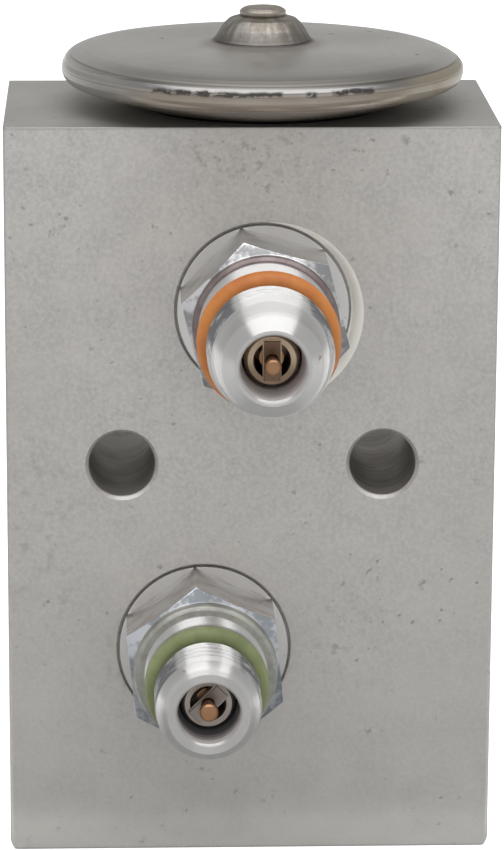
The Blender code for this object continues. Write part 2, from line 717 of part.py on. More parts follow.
def make_push_rod(stem, material):
    """The rod from the pusher plate to the ball, slimmer where it passes the orifice."""
    tip = BALL_HEIGHT + BALL_RADIUS + GAP
    slim_start = OUTLET_HEIGHT + OUTLET_RADIUS - GAP
    taper = ROD_RADIUS - ROD_TIP_RADIUS
    profile = [
        (0, ROD_TOP),
        (ROD_RADIUS - GAP, ROD_TOP),
        (ROD_RADIUS, ROD_TOP - GAP),
        (ROD_RADIUS, slim_start),
        (ROD_TIP_RADIUS, slim_start - taper),
        (ROD_TIP_RADIUS, tip),
        (0, tip),
    ]
    return turned("push_rod", profile, stem, SMALL_FACETS, material)


def make_rod_retainer(stem, material):
    """The pressed washer that keeps the rod's seal in its pocket."""
    profile = [
        (GUIDE_RADIUS, RETAINER_TOP),
        (ROD_SEAL_POCKET - GAP, RETAINER_TOP),
        (ROD_SEAL_POCKET - GAP, RETAINER_BOTTOM),
        (GUIDE_RADIUS, RETAINER_BOTTOM),
    ]
    return turned("rod_seal_retainer", profile, stem, SMALL_FACETS, material, closed=True)


def make_ball(stem, material):
    """The metering ball under the orifice."""
    bm = bmesh.new()
    bmesh.ops.create_uvsphere(bm, u_segments=SMALL_FACETS, v_segments=10, radius=BALL_RADIUS)
    location = (0, 0, BALL_HEIGHT)
    return make_object("valve_ball", mesh_from("valve_ball", bm), stem, location, material)


def make_ball_carrier(stem, material):
    """The dimpled carrier between the ball and its spring."""
    start = math.degrees(math.asin(CARRIER_RIM_RADIUS / CARRIER_DIMPLE))
    dimple = arc((0, BALL_HEIGHT), (CARRIER_DIMPLE, CARRIER_DIMPLE), -90, start - 90, 4)
    profile = dimple + [
        (CARRIER_HEAD_RADIUS, CARRIER_RIM),
        (CARRIER_HEAD_RADIUS, CARRIER_FLANGE_TOP),
        (CARRIER_FLANGE_RADIUS, CARRIER_FLANGE_TOP),
        (CARRIER_FLANGE_RADIUS, CARRIER_FLANGE_BOTTOM),
        (CARRIER_STEM_RADIUS, CARRIER_FLANGE_BOTTOM),
        (CARRIER_STEM_RADIUS, CARRIER_FLANGE_BOTTOM - CARRIER_STEM_LENGTH),
        (0, CARRIER_FLANGE_BOTTOM - CARRIER_STEM_LENGTH),
    ]
    return turned("ball_carrier", profile, stem, SMALL_FACETS, material)


def make_adjusting_plug(stem, material):
    """The plug that sets the spring's load, with its seal groove and hexagon socket."""
    groove_half = ADJUSTER_SEAL_SECTION + GAP
    groove_radius = ADJUSTER_SEAL_RADIUS - ADJUSTER_SEAL_SECTION - GAP
    profile = [
        (0, ADJUSTER_TOP + ADJUSTER_BOSS_HEIGHT),
        (CARRIER_STEM_RADIUS, ADJUSTER_TOP + ADJUSTER_BOSS_HEIGHT),
        (CARRIER_STEM_RADIUS, ADJUSTER_TOP),
        (ADJUSTER_RADIUS, ADJUSTER_TOP),
        (ADJUSTER_RADIUS, ADJUSTER_SEAL_HEIGHT + groove_half),
        (groove_radius, ADJUSTER_SEAL_HEIGHT + groove_half),
        (groove_radius, ADJUSTER_SEAL_HEIGHT - groove_half),
        (ADJUSTER_RADIUS, ADJUSTER_SEAL_HEIGHT - groove_half),
        (ADJUSTER_RADIUS, ADJUSTER_RECESS + ADJUSTER_CHAMFER),
        (ADJUSTER_RADIUS - ADJUSTER_CHAMFER, ADJUSTER_RECESS),
        (0, ADJUSTER_RECESS),
    ]
    plug = turned("adjusting_plug", profile, stem, ROUND_FACETS, material)
    socket = prism(
        "adjuster_socket", ADJUSTER_SOCKET_WIDTH, ADJUSTER_RECESS - CUT_PAST,
        ADJUSTER_RECESS + ADJUSTER_SOCKET_DEPTH, 0, 6, stem,
    )
    combine(plug, "DIFFERENCE", socket)
    return plug


# Service fittings

def make_fitting(side, axis, material):
    """A flanged hexagon fitting with its shank, collar, ring groove, threaded end and coned nose."""
    name = side["name"]
    fitting = prism(f"{name}_fitting", HEX_WIDTH, HEX_BACK, HEX_FRONT, side["hex_turn"], 6, axis, material)
    flat = HEX_WIDTH / 2
    corner = flat / math.cos(math.pi / 6)
    slope = (corner - flat) / 2
    chamfers = turned(
        f"{name}_hex_chamfer",
        [
            (0, HEX_FRONT + CUT_PAST),
            (flat - HEX_CHAMFER, HEX_FRONT + CUT_PAST),
            (flat - HEX_CHAMFER, HEX_FRONT),
            (corner + GAP, HEX_FRONT - slope - HEX_CHAMFER),
            (corner + GAP, HEX_BACK - CUT_PAST),
            (0, HEX_BACK - CUT_PAST),
        ],
        axis,
        ROUND_FACETS,
    )
    undercut_front = side["land_front"] + side["undercut_length"]
    thread_chamfer = (side["thread_radius"] - side["undercut_radius"]) / 3
    stem_of_hex = HEX_FRONT / 2
    outside = turned(
        f"{name}_turned",
        [
            (0, side["tip"]),
            (side["tip_radius"], side["tip"]),
            (side["cone_radius"], side["cone_start"]),
            (side["shoulder_radius"], side["shoulder_start"]),
            (side["nose_radius"], side["nose_start"]),
            (side["thread_radius"], side["thread_front"]),
            (side["thread_radius"], undercut_front + thread_chamfer),
            (side["undercut_radius"], undercut_front),
            (side["undercut_radius"], side["land_front"]),
            (side["land_radius"], side["land_front"]),
            (side["land_radius"], side["collar_front"]),
            (side["collar_radius"], side["collar_front"]),
            (side["collar_radius"], stem_of_hex),
            (SHANK_RADIUS, stem_of_hex),
            (SHANK_RADIUS, FLANGE_FRONT),
            (FLANGE_RADIUS, FLANGE_FRONT),
            (FLANGE_RADIUS, FLANGE_BACK),
            (SHANK_NECK_RADIUS, FLANGE_BACK),
            (SHANK_NECK_RADIUS, -PORT_SEAL_FLOOR),
            (SHANK_RADIUS, -PORT_SEAL_FLOOR),
            (SHANK_RADIUS, GAP - SHANK_DEPTH),
            (SHANK_RADIUS - GAP, -SHANK_DEPTH),
            (0, -SHANK_DEPTH),
        ],
        axis,
        ROUND_FACETS,
    )
    tip = side["tip"]
    mouth_step = side["mouth_radius"] - CORE_BORE_RADIUS
    seat_step = CORE_BORE_RADIUS - CORE_LOWER_BORE_RADIUS
    bore = drilled(
        f"{name}_bore",
        [
            (side["mouth_radius"], tip + CUT_PAST),
            (side["mouth_radius"], tip - CORE_MOUTH_DEPTH),
            (CORE_BORE_RADIUS, tip - CORE_MOUTH_DEPTH - 2 * mouth_step),
            (CORE_BORE_RADIUS, tip - CORE_SEAT_DEPTH),
            (CORE_LOWER_BORE_RADIUS, tip - CORE_SEAT_DEPTH - seat_step),
            (CORE_LOWER_BORE_RADIUS, -SHANK_DEPTH - CUT_PAST),
        ],
        axis,
        SMALL_FACETS,
    )
    combine(fitting, "INTERSECT", chamfers)
    combine(fitting, "UNION", outside)
    combine(fitting, "DIFFERENCE", bore)
    return fitting


def make_core_body(side, axis, material):
    """The screwed-in core: a stepped barrel with a bridge across its mouth."""
    name = side["name"]
    tip = side["tip"]
    shaft_bore = PIN_RADIUS + RUNNING_GAP
    rim = tip - CORE_RIM_DEPTH
    body = turned(
        f"{name}_core_body",
        [
            (CORE_SPRING_BORE, rim),
            (CORE_RADIUS, rim),
            (CORE_RADIUS, tip - CORE_SEAL_TOP + GAP),
            (CORE_LOWER_RADIUS, tip - CORE_SEAL_TOP + GAP),
            (CORE_LOWER_RADIUS, tip - CORE_END),
            (shaft_bore, tip - CORE_END),
            (shaft_bore, tip - CORE_SPRING_FLOOR),
            (CORE_SPRING_BORE, tip - CORE_SPRING_FLOOR),
        ],
        axis,
        SMALL_FACETS,
        material,
        closed=True,
    )
    bridge_length = CORE_SPRING_BORE + CORE_RADIUS
    bridge = box(
        f"{name}_bridge",
        (bridge_length, BRIDGE_WIDTH, BRIDGE_THICKNESS),
        (0, 0, tip - BRIDGE_DEPTH - BRIDGE_THICKNESS / 2),
        side["bridge_turn"],
        axis,
    )
    hole = drilled(
        f"{name}_bridge_hole",
        [
            (shaft_bore, tip),
            (shaft_bore, tip - BRIDGE_DEPTH - BRIDGE_THICKNESS - GAP),
        ],
        axis,
        SMALL_FACETS,
    )
    combine(body, "UNION", bridge)
    combine(body, "DIFFERENCE", hole)
    return body


def make_core_pin(side, axis, material):
    """The pin, from its head at the mouth to the disc that closes the core's inner end."""
    tip = side["tip"]
    head = side["pin_head_radius"]
    head_round = head * 0.25
    head_top = tip - PIN_DEPTH
    head_bottom = head_top - PIN_HEAD_LENGTH
    collar_radius = CORE_SPRING_BORE - GAP
    disc_top = tip - CORE_END - GAP
    profile = [
        (0, head_top),
        (head - head_round, head_top),
        (head, head_top - head_round),
        (head, head_bottom),
        (PIN_RADIUS, head_bottom),
        (PIN_RADIUS, tip - PIN_COLLAR_TOP),
        (collar_radius, tip - PIN_COLLAR_TOP),
        (collar_radius, tip - PIN_COLLAR_TOP - PIN_COLLAR_THICKNESS),
        (PIN_RADIUS, tip - PIN_COLLAR_TOP - PIN_COLLAR_THICKNESS),
        (PIN_RADIUS, disc_top),
        (PIN_DISC_RADIUS, disc_top),
        (PIN_DISC_RADIUS, disc_top - PIN_DISC_THICKNESS),
        (0, disc_top - PIN_DISC_THICKNESS),
    ]
    return turned(f"{side['name']}_core_pin", profile, axis, SMALL_FACETS, material)


def make_core_spring(side, axis, material):
    """The return spring between the pin's collar and the floor of the core's barrel."""
    top = side["tip"] - PIN_COLLAR_TOP - PIN_COLLAR_THICKNESS - GAP
    bottom = side["tip"] - CORE_SPRING_FLOOR + GAP
    radius = PIN_RADIUS + GAP + CORE_SPRING_WIRE
    name = f"{side['name']}_core_spring"
    return helix(name, radius, CORE_SPRING_WIRE, bottom, top, CORE_SPRING_TURNS, 8, axis, material)


def make_core_seal(side, axis, material):
    """The soft sleeve that seals the core in its tapered seat."""
    top = side["tip"] - CORE_SEAL_TOP
    inner = CORE_LOWER_RADIUS + GAP
    outer = inner + CORE_SEAL_THICKNESS
    profile = [
        (inner, top),
        (outer, top),
        (outer, top - CORE_SEAL_LENGTH),
        (inner, top - CORE_SEAL_LENGTH),
    ]
    return turned(f"{side['name']}_core_seal", profile, axis, SMALL_FACETS, material, closed=True)


def make_service_port(side, axis, materials):
    """Everything that one service port holds."""
    name = side["name"]
    ring_height = side["land_front"] + GAP + side["ring_section"]
    return [
        make_fitting(side, axis, materials["fitting"]),
        ring(
            f"{name}_nose_ring", side["ring_radius"], side["ring_section"], ring_height,
            axis, materials[name], ROUND_FACETS,
        ),
        ring(
            f"{name}_port_seal", PORT_SEAL_RADIUS, PORT_SEAL_SECTION, -PORT_SEAL_DEPTH,
            axis, materials["seal"],
        ),
        make_core_body(side, axis, materials["brass"]),
        make_core_pin(side, axis, materials["pin"]),
        make_core_seal(side, axis, materials["sleeve"]),
        make_core_spring(side, axis, materials["spring"]),
    ]


def main():
    """Build the whole valve."""
    clear_scene()
    materials = {
        "block": make_material("block_aluminium", (0.40, 0.39, 0.37), 0.55, 0.6),
        "head": make_material("head_steel", (0.42, 0.39, 0.35), 0.3, 1.0),
        "inner": make_material("inner_steel", (0.5, 0.5, 0.5), 0.35, 1.0),
        "fitting": make_material("fitting_aluminium", (0.72, 0.72, 0.71), 0.25, 1.0),
        "brass": make_material("turned_brass", (0.55, 0.42, 0.24), 0.35, 1.0),
        "pin": make_material("pin_copper", (0.68, 0.38, 0.22), 0.3, 1.0),
        "spring": make_material("spring_steel", (0.45, 0.45, 0.47), 0.3, 1.0),
        "seal": make_material("black_rubber", (0.03, 0.03, 0.03), 0.7, 0.0),
        "sleeve": make_material("white_sleeve", (0.8, 0.8, 0.78), 0.5, 0.0),
        "low_side": make_material("orange_rubber", (0.72, 0.22, 0.06), 0.45, 0.0),
        "high_side": make_material("green_rubber", (0.22, 0.27, 0.11), 0.45, 0.0),
    }
    body = make_axis("valve_body", None, (0, BLOCK_Y, 0))
    stem = make_axis("stem_axis", body, (STEM_X, 0, 0))
    head_seat = make_axis("head_seat", body, (STEM_X, 0, BLOCK_HEIGHT), (0, HEAD_TILT, 0))
    head = make_axis("head_axis", head_seat, (0, 0, -BLOCK_HEIGHT))
    port_axes = []
    for side in (LOW_SIDE, HIGH_SIDE):
        location = (side["x"], -HALF_DEPTH, side["z"])
        axis = make_axis(f"{side['name']}_axis", body, location, (math.pi / 2, 0, 0))
        port_axes.append((side, axis))

    parts = [
        make_block(body, stem, port_axes, materials["block"]),
        make_upper_shell(head, materials["head"]),
        make_lower_shell(head, materials["head"]),
        make_diaphragm(head, materials["inner"]),
        make_charge_plug(head, materials["head"]),
        make_head_seal(stem, materials["seal"]),
        make_pusher(stem, materials["inner"]),
        make_push_rod(stem, materials["inner"]),
        ring(
            "rod_seal_ring", ROD_SEAL_RADIUS, ROD_SEAL_SECTION, ROD_SEAL_HEIGHT,
            stem, materials["seal"],
        ),
        make_rod_retainer(stem, materials["inner"]),
        make_ball(stem, materials["inner"]),
        make_ball_carrier(stem, materials["inner"]),
        helix(
            "superheat_spring", SPRING_RADIUS, SPRING_WIRE, ADJUSTER_TOP + GAP,
            CARRIER_FLANGE_BOTTOM - GAP, SPRING_TURNS, 12, stem, materials["spring"],
        ),
        make_adjusting_plug(stem, materials["brass"]),
        ring(
            "adjuster_seal_ring", ADJUSTER_SEAL_RADIUS, ADJUSTER_SEAL_SECTION,
            ADJUSTER_SEAL_HEIGHT, stem, materials["seal"],
        ),
    ]
    for side, axis in port_axes:
        parts += make_service_port(side, axis, materials)
    bpy.context.view_layer.update()
    rubbers = [materials[key] for key in ("seal", "low_side", "high_side")]
    for obj in parts:
        if obj.type == "MESH":
            soft = obj.data.materials[0] in rubbers
            finish_shading(obj, RUBBER_SMOOTH_ANGLE if soft else SMOOTH_ANGLE)


main()
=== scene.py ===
"""Studio scene for the block expansion valve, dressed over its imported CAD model."""
import json
import math

import bmesh
import bpy
from mathutils import Matrix, Vector, noise

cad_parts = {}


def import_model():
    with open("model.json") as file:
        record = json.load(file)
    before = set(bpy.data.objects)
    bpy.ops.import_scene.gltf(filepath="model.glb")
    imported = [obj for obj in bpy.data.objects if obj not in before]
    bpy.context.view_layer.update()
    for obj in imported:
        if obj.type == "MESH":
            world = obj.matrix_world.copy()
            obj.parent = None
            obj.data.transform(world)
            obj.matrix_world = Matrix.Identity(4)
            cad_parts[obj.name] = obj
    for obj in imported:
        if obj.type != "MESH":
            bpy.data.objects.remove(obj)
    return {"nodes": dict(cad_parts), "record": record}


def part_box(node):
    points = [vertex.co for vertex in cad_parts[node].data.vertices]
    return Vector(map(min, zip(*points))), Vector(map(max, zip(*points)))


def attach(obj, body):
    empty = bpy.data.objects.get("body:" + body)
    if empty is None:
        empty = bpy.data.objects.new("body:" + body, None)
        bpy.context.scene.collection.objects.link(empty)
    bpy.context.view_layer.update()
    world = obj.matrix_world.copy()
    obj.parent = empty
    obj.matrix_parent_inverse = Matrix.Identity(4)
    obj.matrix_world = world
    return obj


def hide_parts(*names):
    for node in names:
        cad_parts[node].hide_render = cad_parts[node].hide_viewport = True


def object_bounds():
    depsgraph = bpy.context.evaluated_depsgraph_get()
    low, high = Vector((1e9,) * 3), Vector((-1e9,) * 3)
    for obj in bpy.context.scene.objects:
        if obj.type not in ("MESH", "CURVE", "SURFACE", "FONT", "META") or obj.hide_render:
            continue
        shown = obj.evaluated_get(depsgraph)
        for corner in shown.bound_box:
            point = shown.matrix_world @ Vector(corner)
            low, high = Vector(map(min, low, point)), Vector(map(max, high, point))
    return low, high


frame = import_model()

MM = 0.001
CAD_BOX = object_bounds()

# Camera, fitted to the block's corners in the photograph
FRAME_HEIGHT = 850
FOCAL_PIXELS = 3921.9
SENSOR = 36.0
CAMERA_FROM_BLOCK = Vector((-12.97, -356.56, 129.74)) * MM
CAMERA_PITCH = math.radians(14.514)
CAMERA_YAW = math.radians(2.168)
CAMERA_ROLL = math.radians(-0.264)

# The block's own axes
BLOCK_LOW, BLOCK_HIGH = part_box("valve_block")
BLOCK_CENTRE = (BLOCK_LOW + BLOCK_HIGH) / 2
BLOCK_SIZE = BLOCK_HIGH - BLOCK_LOW
BLOCK_TOP = BLOCK_HIGH.z
FRONT_FACE = BLOCK_LOW.y
PAST = 1.0 * MM


def middle(node):
    """The middle of a CAD node's box."""
    low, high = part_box(node)
    return (low + high) / 2


STEM = middle("push_rod")

# Facets
ROUND = 192
FINE_ROUND = 288
RIM_ROUND = 480
HOLE_ROUND = 96
SMALL_ROUND = 64


# Geometry helpers

def rounded(profile, steps=4):
    """Round each (radius, height, fillet) corner of a profile; a bare (radius, height) stays sharp."""
    points = []
    last = len(profile) - 1
    for i, corner in enumerate(profile):
        here = Vector(corner[:2])
        fillet = corner[2] if len(corner) > 2 else 0
        if not fillet or i in (0, last):
            points.append(here)
            continue
        before = Vector(profile[i - 1][:2]) - here
        after = Vector(profile[i + 1][:2]) - here
        half = before.angle(after) / 2
        reach = min(fillet / math.tan(half), before.length * 0.49, after.length * 0.49)
        start = here + before.normalized() * reach
        end = here + after.normalized() * reach
        for k in range(steps + 1):
            t = k / steps
            points.append(start * (1 - t) ** 2 + here * 2 * t * (1 - t) + end * t**2)
    return [tuple(point) for point in points]


def mm(*points):
    """Profile points given in millimetres."""
    return [tuple(value * MM for value in point) for point in points]


def dense(points, step, low, high):
    """Add points every step wherever a profile runs between two heights."""
    result = []
    for a, b in zip(points, points[1:]):
        result.append(a)
        if low < min(a[1], b[1]) and max(a[1], b[1]) < high:
            length = (Vector(b) - Vector(a)).length
            result += ramp(a, b, int(length / step))
    return result + [points[-1]]


def ramp(start, end, count):
    """Evenly spaced profile points from start to end, both left out."""
    a, b = Vector(start), Vector(end)
    return [tuple(a.lerp(b, k / (count + 1))) for k in range(1, count + 1)]


def lathe_mesh(name, points, segments, closed=False, reshape=None, turn=0.0):
    """Spin (radius, height) points round local Z; reshape(radius, height, angle) may move each one."""
    verts = []
    for k in range(segments):
        angle = 2 * math.pi * k / segments + turn
        for radius, height in points:
            if reshape:
                radius, height = reshape(radius, height, angle)
            verts.append((radius * math.cos(angle), radius * math.sin(angle), height))
    count = len(points)
    faces = []
    for k in range(segments):
        a, b = k * count, (k + 1) % segments * count
        for i in range(count if closed else count - 1):
            j = (i + 1) % count
            faces.append((a + i, b + i, b + j, a + j))
    mesh = bpy.data.meshes.new(name)
    mesh.from_pydata(verts, [], faces)
    bm = bmesh.new()
    bm.from_mesh(mesh)
    bmesh.ops.remove_doubles(bm, verts=bm.verts, dist=1e-7)
    bmesh.ops.dissolve_degenerate(bm, edges=bm.edges, dist=1e-8)
    bmesh.ops.recalc_face_normals(bm, faces=bm.faces)
    bm.to_mesh(mesh)
    bm.free()
    return mesh


def shade(mesh, degrees=28):
    """Shade smooth up to edges sharper than the angle."""
    mesh.shade_smooth()
    mesh.set_sharp_from_angle(angle=math.radians(degrees))


def linked(name, data):
    """A new object in the scene."""
    obj = bpy.data.objects.new(name, data)
    bpy.context.scene.collection.objects.link(obj)
    return obj


def add_piece(name, mesh, place, material, body, slot, *nodes):
    """A dressed piece that rides on a body and stands for CAD nodes."""
    obj = linked(name, mesh)
    obj.matrix_world = place
    mesh.materials.clear()
    mesh.materials.append(material)
    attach(obj, body)
    if nodes:
        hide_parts(*nodes)


def applied(obj):
    """A copy of an object's mesh with its modifiers applied."""
    depsgraph = bpy.context.evaluated_depsgraph_get()
    return bpy.data.meshes.new_from_object(obj.evaluated_get(depsgraph))


def scratch_object(name, mesh, place=None):
    """A helper object for a Boolean, removed again by drop()."""
    obj = linked(name, mesh)
    if place:
        obj.matrix_world = place
    return obj


def drop(*objects):
    """Remove helper objects."""
    for obj in objects:
        bpy.data.objects.remove(obj, do_unlink=True)


def cut(mesh, cutters, operation="DIFFERENCE"):
    """The mesh after exact Booleans with cutter meshes, each given with its place."""
    target = scratch_object("target", mesh)
    helpers = []
    for k, (cutter, place) in enumerate(cutters):
        helper = scratch_object(f"cutter_{k}", cutter, place)
        modifier = target.modifiers.new(f"cut_{k}", "BOOLEAN")
        modifier.object = helper
        modifier.operation = operation
        modifier.solver = "EXACT"
        helpers.append(helper)
    bpy.context.view_layer.update()
    result = applied(target)
    drop(target, *helpers)
    return result


def stem_place():
    """The stem axis, local Z up and zero at the valve's foot."""
    return Matrix.Translation((STEM.x, BLOCK_CENTRE.y, 0))


def out_of_front(x, z):
    """An axis out of the front face, local Z towards -Y and zero at the face."""
    return Matrix.Translation((x, FRONT_FACE, z)) @ Matrix.Rotation(math.pi / 2, 4, "X")


def out_of_side(z, turn):
    """An axis out of the right (turn 1) or left (turn -1) face, zero in the middle plane."""
    centre = Matrix.Translation((0, BLOCK_CENTRE.y, z))
    return centre @ Matrix.Rotation(turn * math.pi / 2, 4, "Y")


# Material helpers

class Nodes:
    """Short calls for building the node tree of one material, or of the world."""

    def __init__(self, name, kind="materials", shader="Principled BSDF", coordinate="Object"):
        self.owner = getattr(bpy.data, kind).new(name)
        self.owner.use_nodes = True
        self.tree = self.owner.node_tree
        self.shader = self.tree.nodes[shader]
        self.place = self.add("ShaderNodeTexCoord").outputs[coordinate]

    def add(self, kind, **settings):
        node = self.tree.nodes.new(kind)
        for key, value in settings.items():
            setattr(node, key, value)
        return node

    def link(self, source, target):
        if isinstance(source, bpy.types.NodeSocket):
            self.tree.links.new(source, target)
        else:
            target.default_value = source

    def set(self, **values):
        """Set shader sockets by name, with underscores for spaces."""
        for key, value in values.items():
            self.link(value, self.shader.inputs[key.replace("_", " ")])

    def math(self, operation, a, b=0.0, clamp=False):
        node = self.add("ShaderNodeMath", operation=operation, use_clamp=clamp)
        self.link(a, node.inputs[0])
        self.link(b, node.inputs[1])
        return node.outputs[0]

    def scaled(self, vector, scale):
        node = self.add("ShaderNodeVectorMath", operation="MULTIPLY")
        self.link(vector, node.inputs[0])
        node.inputs[1].default_value = scale
        return node.outputs[0]

    def noise(self, scale, detail=4.0, roughness=0.55, vector=None, stretch=None, seed=0.0):
        vector = self.place if vector is None else vector
        if stretch:
            vector = self.scaled(vector, stretch)
        if seed:
            node = self.add("ShaderNodeVectorMath", operation="ADD")
            self.link(vector, node.inputs[0])
            node.inputs[1].default_value = (seed, seed * 0.7, seed * 1.3)
            vector = node.outputs[0]
        node = self.add("ShaderNodeTexNoise")
        self.link(vector, node.inputs["Vector"])
        node.inputs["Scale"].default_value = scale
        node.inputs["Detail"].default_value = detail
        node.inputs["Roughness"].default_value = roughness
        return node.outputs["Fac"]

    def span(self, value, low, high, to_low=0.0, to_high=1.0):
        """Map low..high of a value smoothly to to_low..to_high, held at both ends."""
        node = self.add("ShaderNodeMapRange", clamp=True, interpolation_type="SMOOTHSTEP")
        self.link(value, node.inputs["Value"])
        for key, number in (("From Min", low), ("From Max", high), ("To Min", to_low), ("To Max", to_high)):
            node.inputs[key].default_value = number
        return node.outputs["Result"]

    def rises(self, value, low, high, share):
        """0 up to low, share from high."""
        return self.span(value, low, high, 0.0, share)

    def falls(self, value, low, high, share=1.0):
        """share up to low, 0 from high."""
        return self.span(value, low, high, share, 0.0)

    def times(self, first, *others, clamp=False):
        """The product of several masks."""
        *between, last = others
        for other in between:
            first = self.math("MULTIPLY", first, other)
        return self.math("MULTIPLY", first, last, clamp)

    def off(self, value, centre):
        """How far a value is from a centre, either way."""
        return self.math("ABSOLUTE", self.math("SUBTRACT", value, centre))

    def mix(self, share, a, b):
        """The colour a, with a share of the colour b."""
        node = self.add("ShaderNodeMix", data_type="RGBA")
        self.link(share, node.inputs["Factor"])
        self.link(a, node.inputs[6])
        self.link(b, node.inputs[7])
        return node.outputs[2]

    def axes(self):
        node = self.add("ShaderNodeSeparateXYZ")
        self.link(self.place, node.inputs[0])
        return node.outputs

    def combined(self, x, z):
        """A vector of an x and a z."""
        node = self.add("ShaderNodeCombineXYZ")
        self.link(x, node.inputs[0])
        self.link(z, node.inputs[2])
        return node.outputs[0]

    def radius(self, x, y):
        return self.math("SQRT", self.math("ADD", self.times(x, x), self.times(y, y)))

    def from_axis(self, place):
        """Distance from the line along Y through a place."""
        x, _, z = self.axes()
        return self.radius(self.math("SUBTRACT", x, place.x), self.math("SUBTRACT", z, place.z))

    def turned_vector(self):
        """A vector that changes along and away from local Z only, for turning marks."""
        x, y, z = self.axes()
        return self.combined(self.radius(x, y), z)

    def nicks(self):
        """Small dark nicks in turned metal."""
        return self.rises(self.noise(900, 3, 0.6, seed=15.0), 0.7, 0.76, 0.6)

    def turned_finish(self, anisotropy, roughening):
        """Fine turning marks round local Z, with highlights drawn out along it."""
        self.set(Anisotropic=anisotropy, Anisotropic_Rotation=0.25)
        tangent = self.add("ShaderNodeTangent", direction_type="RADIAL", axis="Z")
        self.link(tangent.outputs[0], self.shader.inputs["Tangent"])
        turning = self.noise(2600, 3, 0.6, vector=self.turned_vector())
        normal = self.bump(turning, 0.012 * MM, 0.25)
        grain = self.noise(1800, 3, 0.6, seed=3.3)
        self.set(Normal=self.bump(grain, 0.01 * MM, roughening, normal))

    def bump(self, height, distance, strength=1.0, normal=None):
        node = self.add("ShaderNodeBump")
        node.inputs["Strength"].default_value = strength
        node.inputs["Distance"].default_value = distance
        self.link(height, node.inputs["Height"])
        if normal is not None:
            self.link(normal, node.inputs["Normal"])
        return node.outputs["Normal"]

    def spot(self, centre, reach):
        """1 in the middle of an ellipsoid in object space, falling to 0 at its edge."""
        shift = self.add("ShaderNodeVectorMath", operation="SUBTRACT")
        self.link(self.place, shift.inputs[0])
        shift.inputs[1].default_value = centre
        vector = self.scaled(shift.outputs[0], tuple(1 / r for r in reach))
        length = self.add("ShaderNodeVectorMath", operation="LENGTH")
        self.link(vector, length.inputs[0])
        return self.span(length.outputs["Value"], 0.25, 1.0, 1.0, 0.0)


def grey(value, warmth=0.0):
    """An opaque grey, warmer for a positive warmth."""
    return (value * (1 + warmth), value, value * (1 - warmth), 1.0)


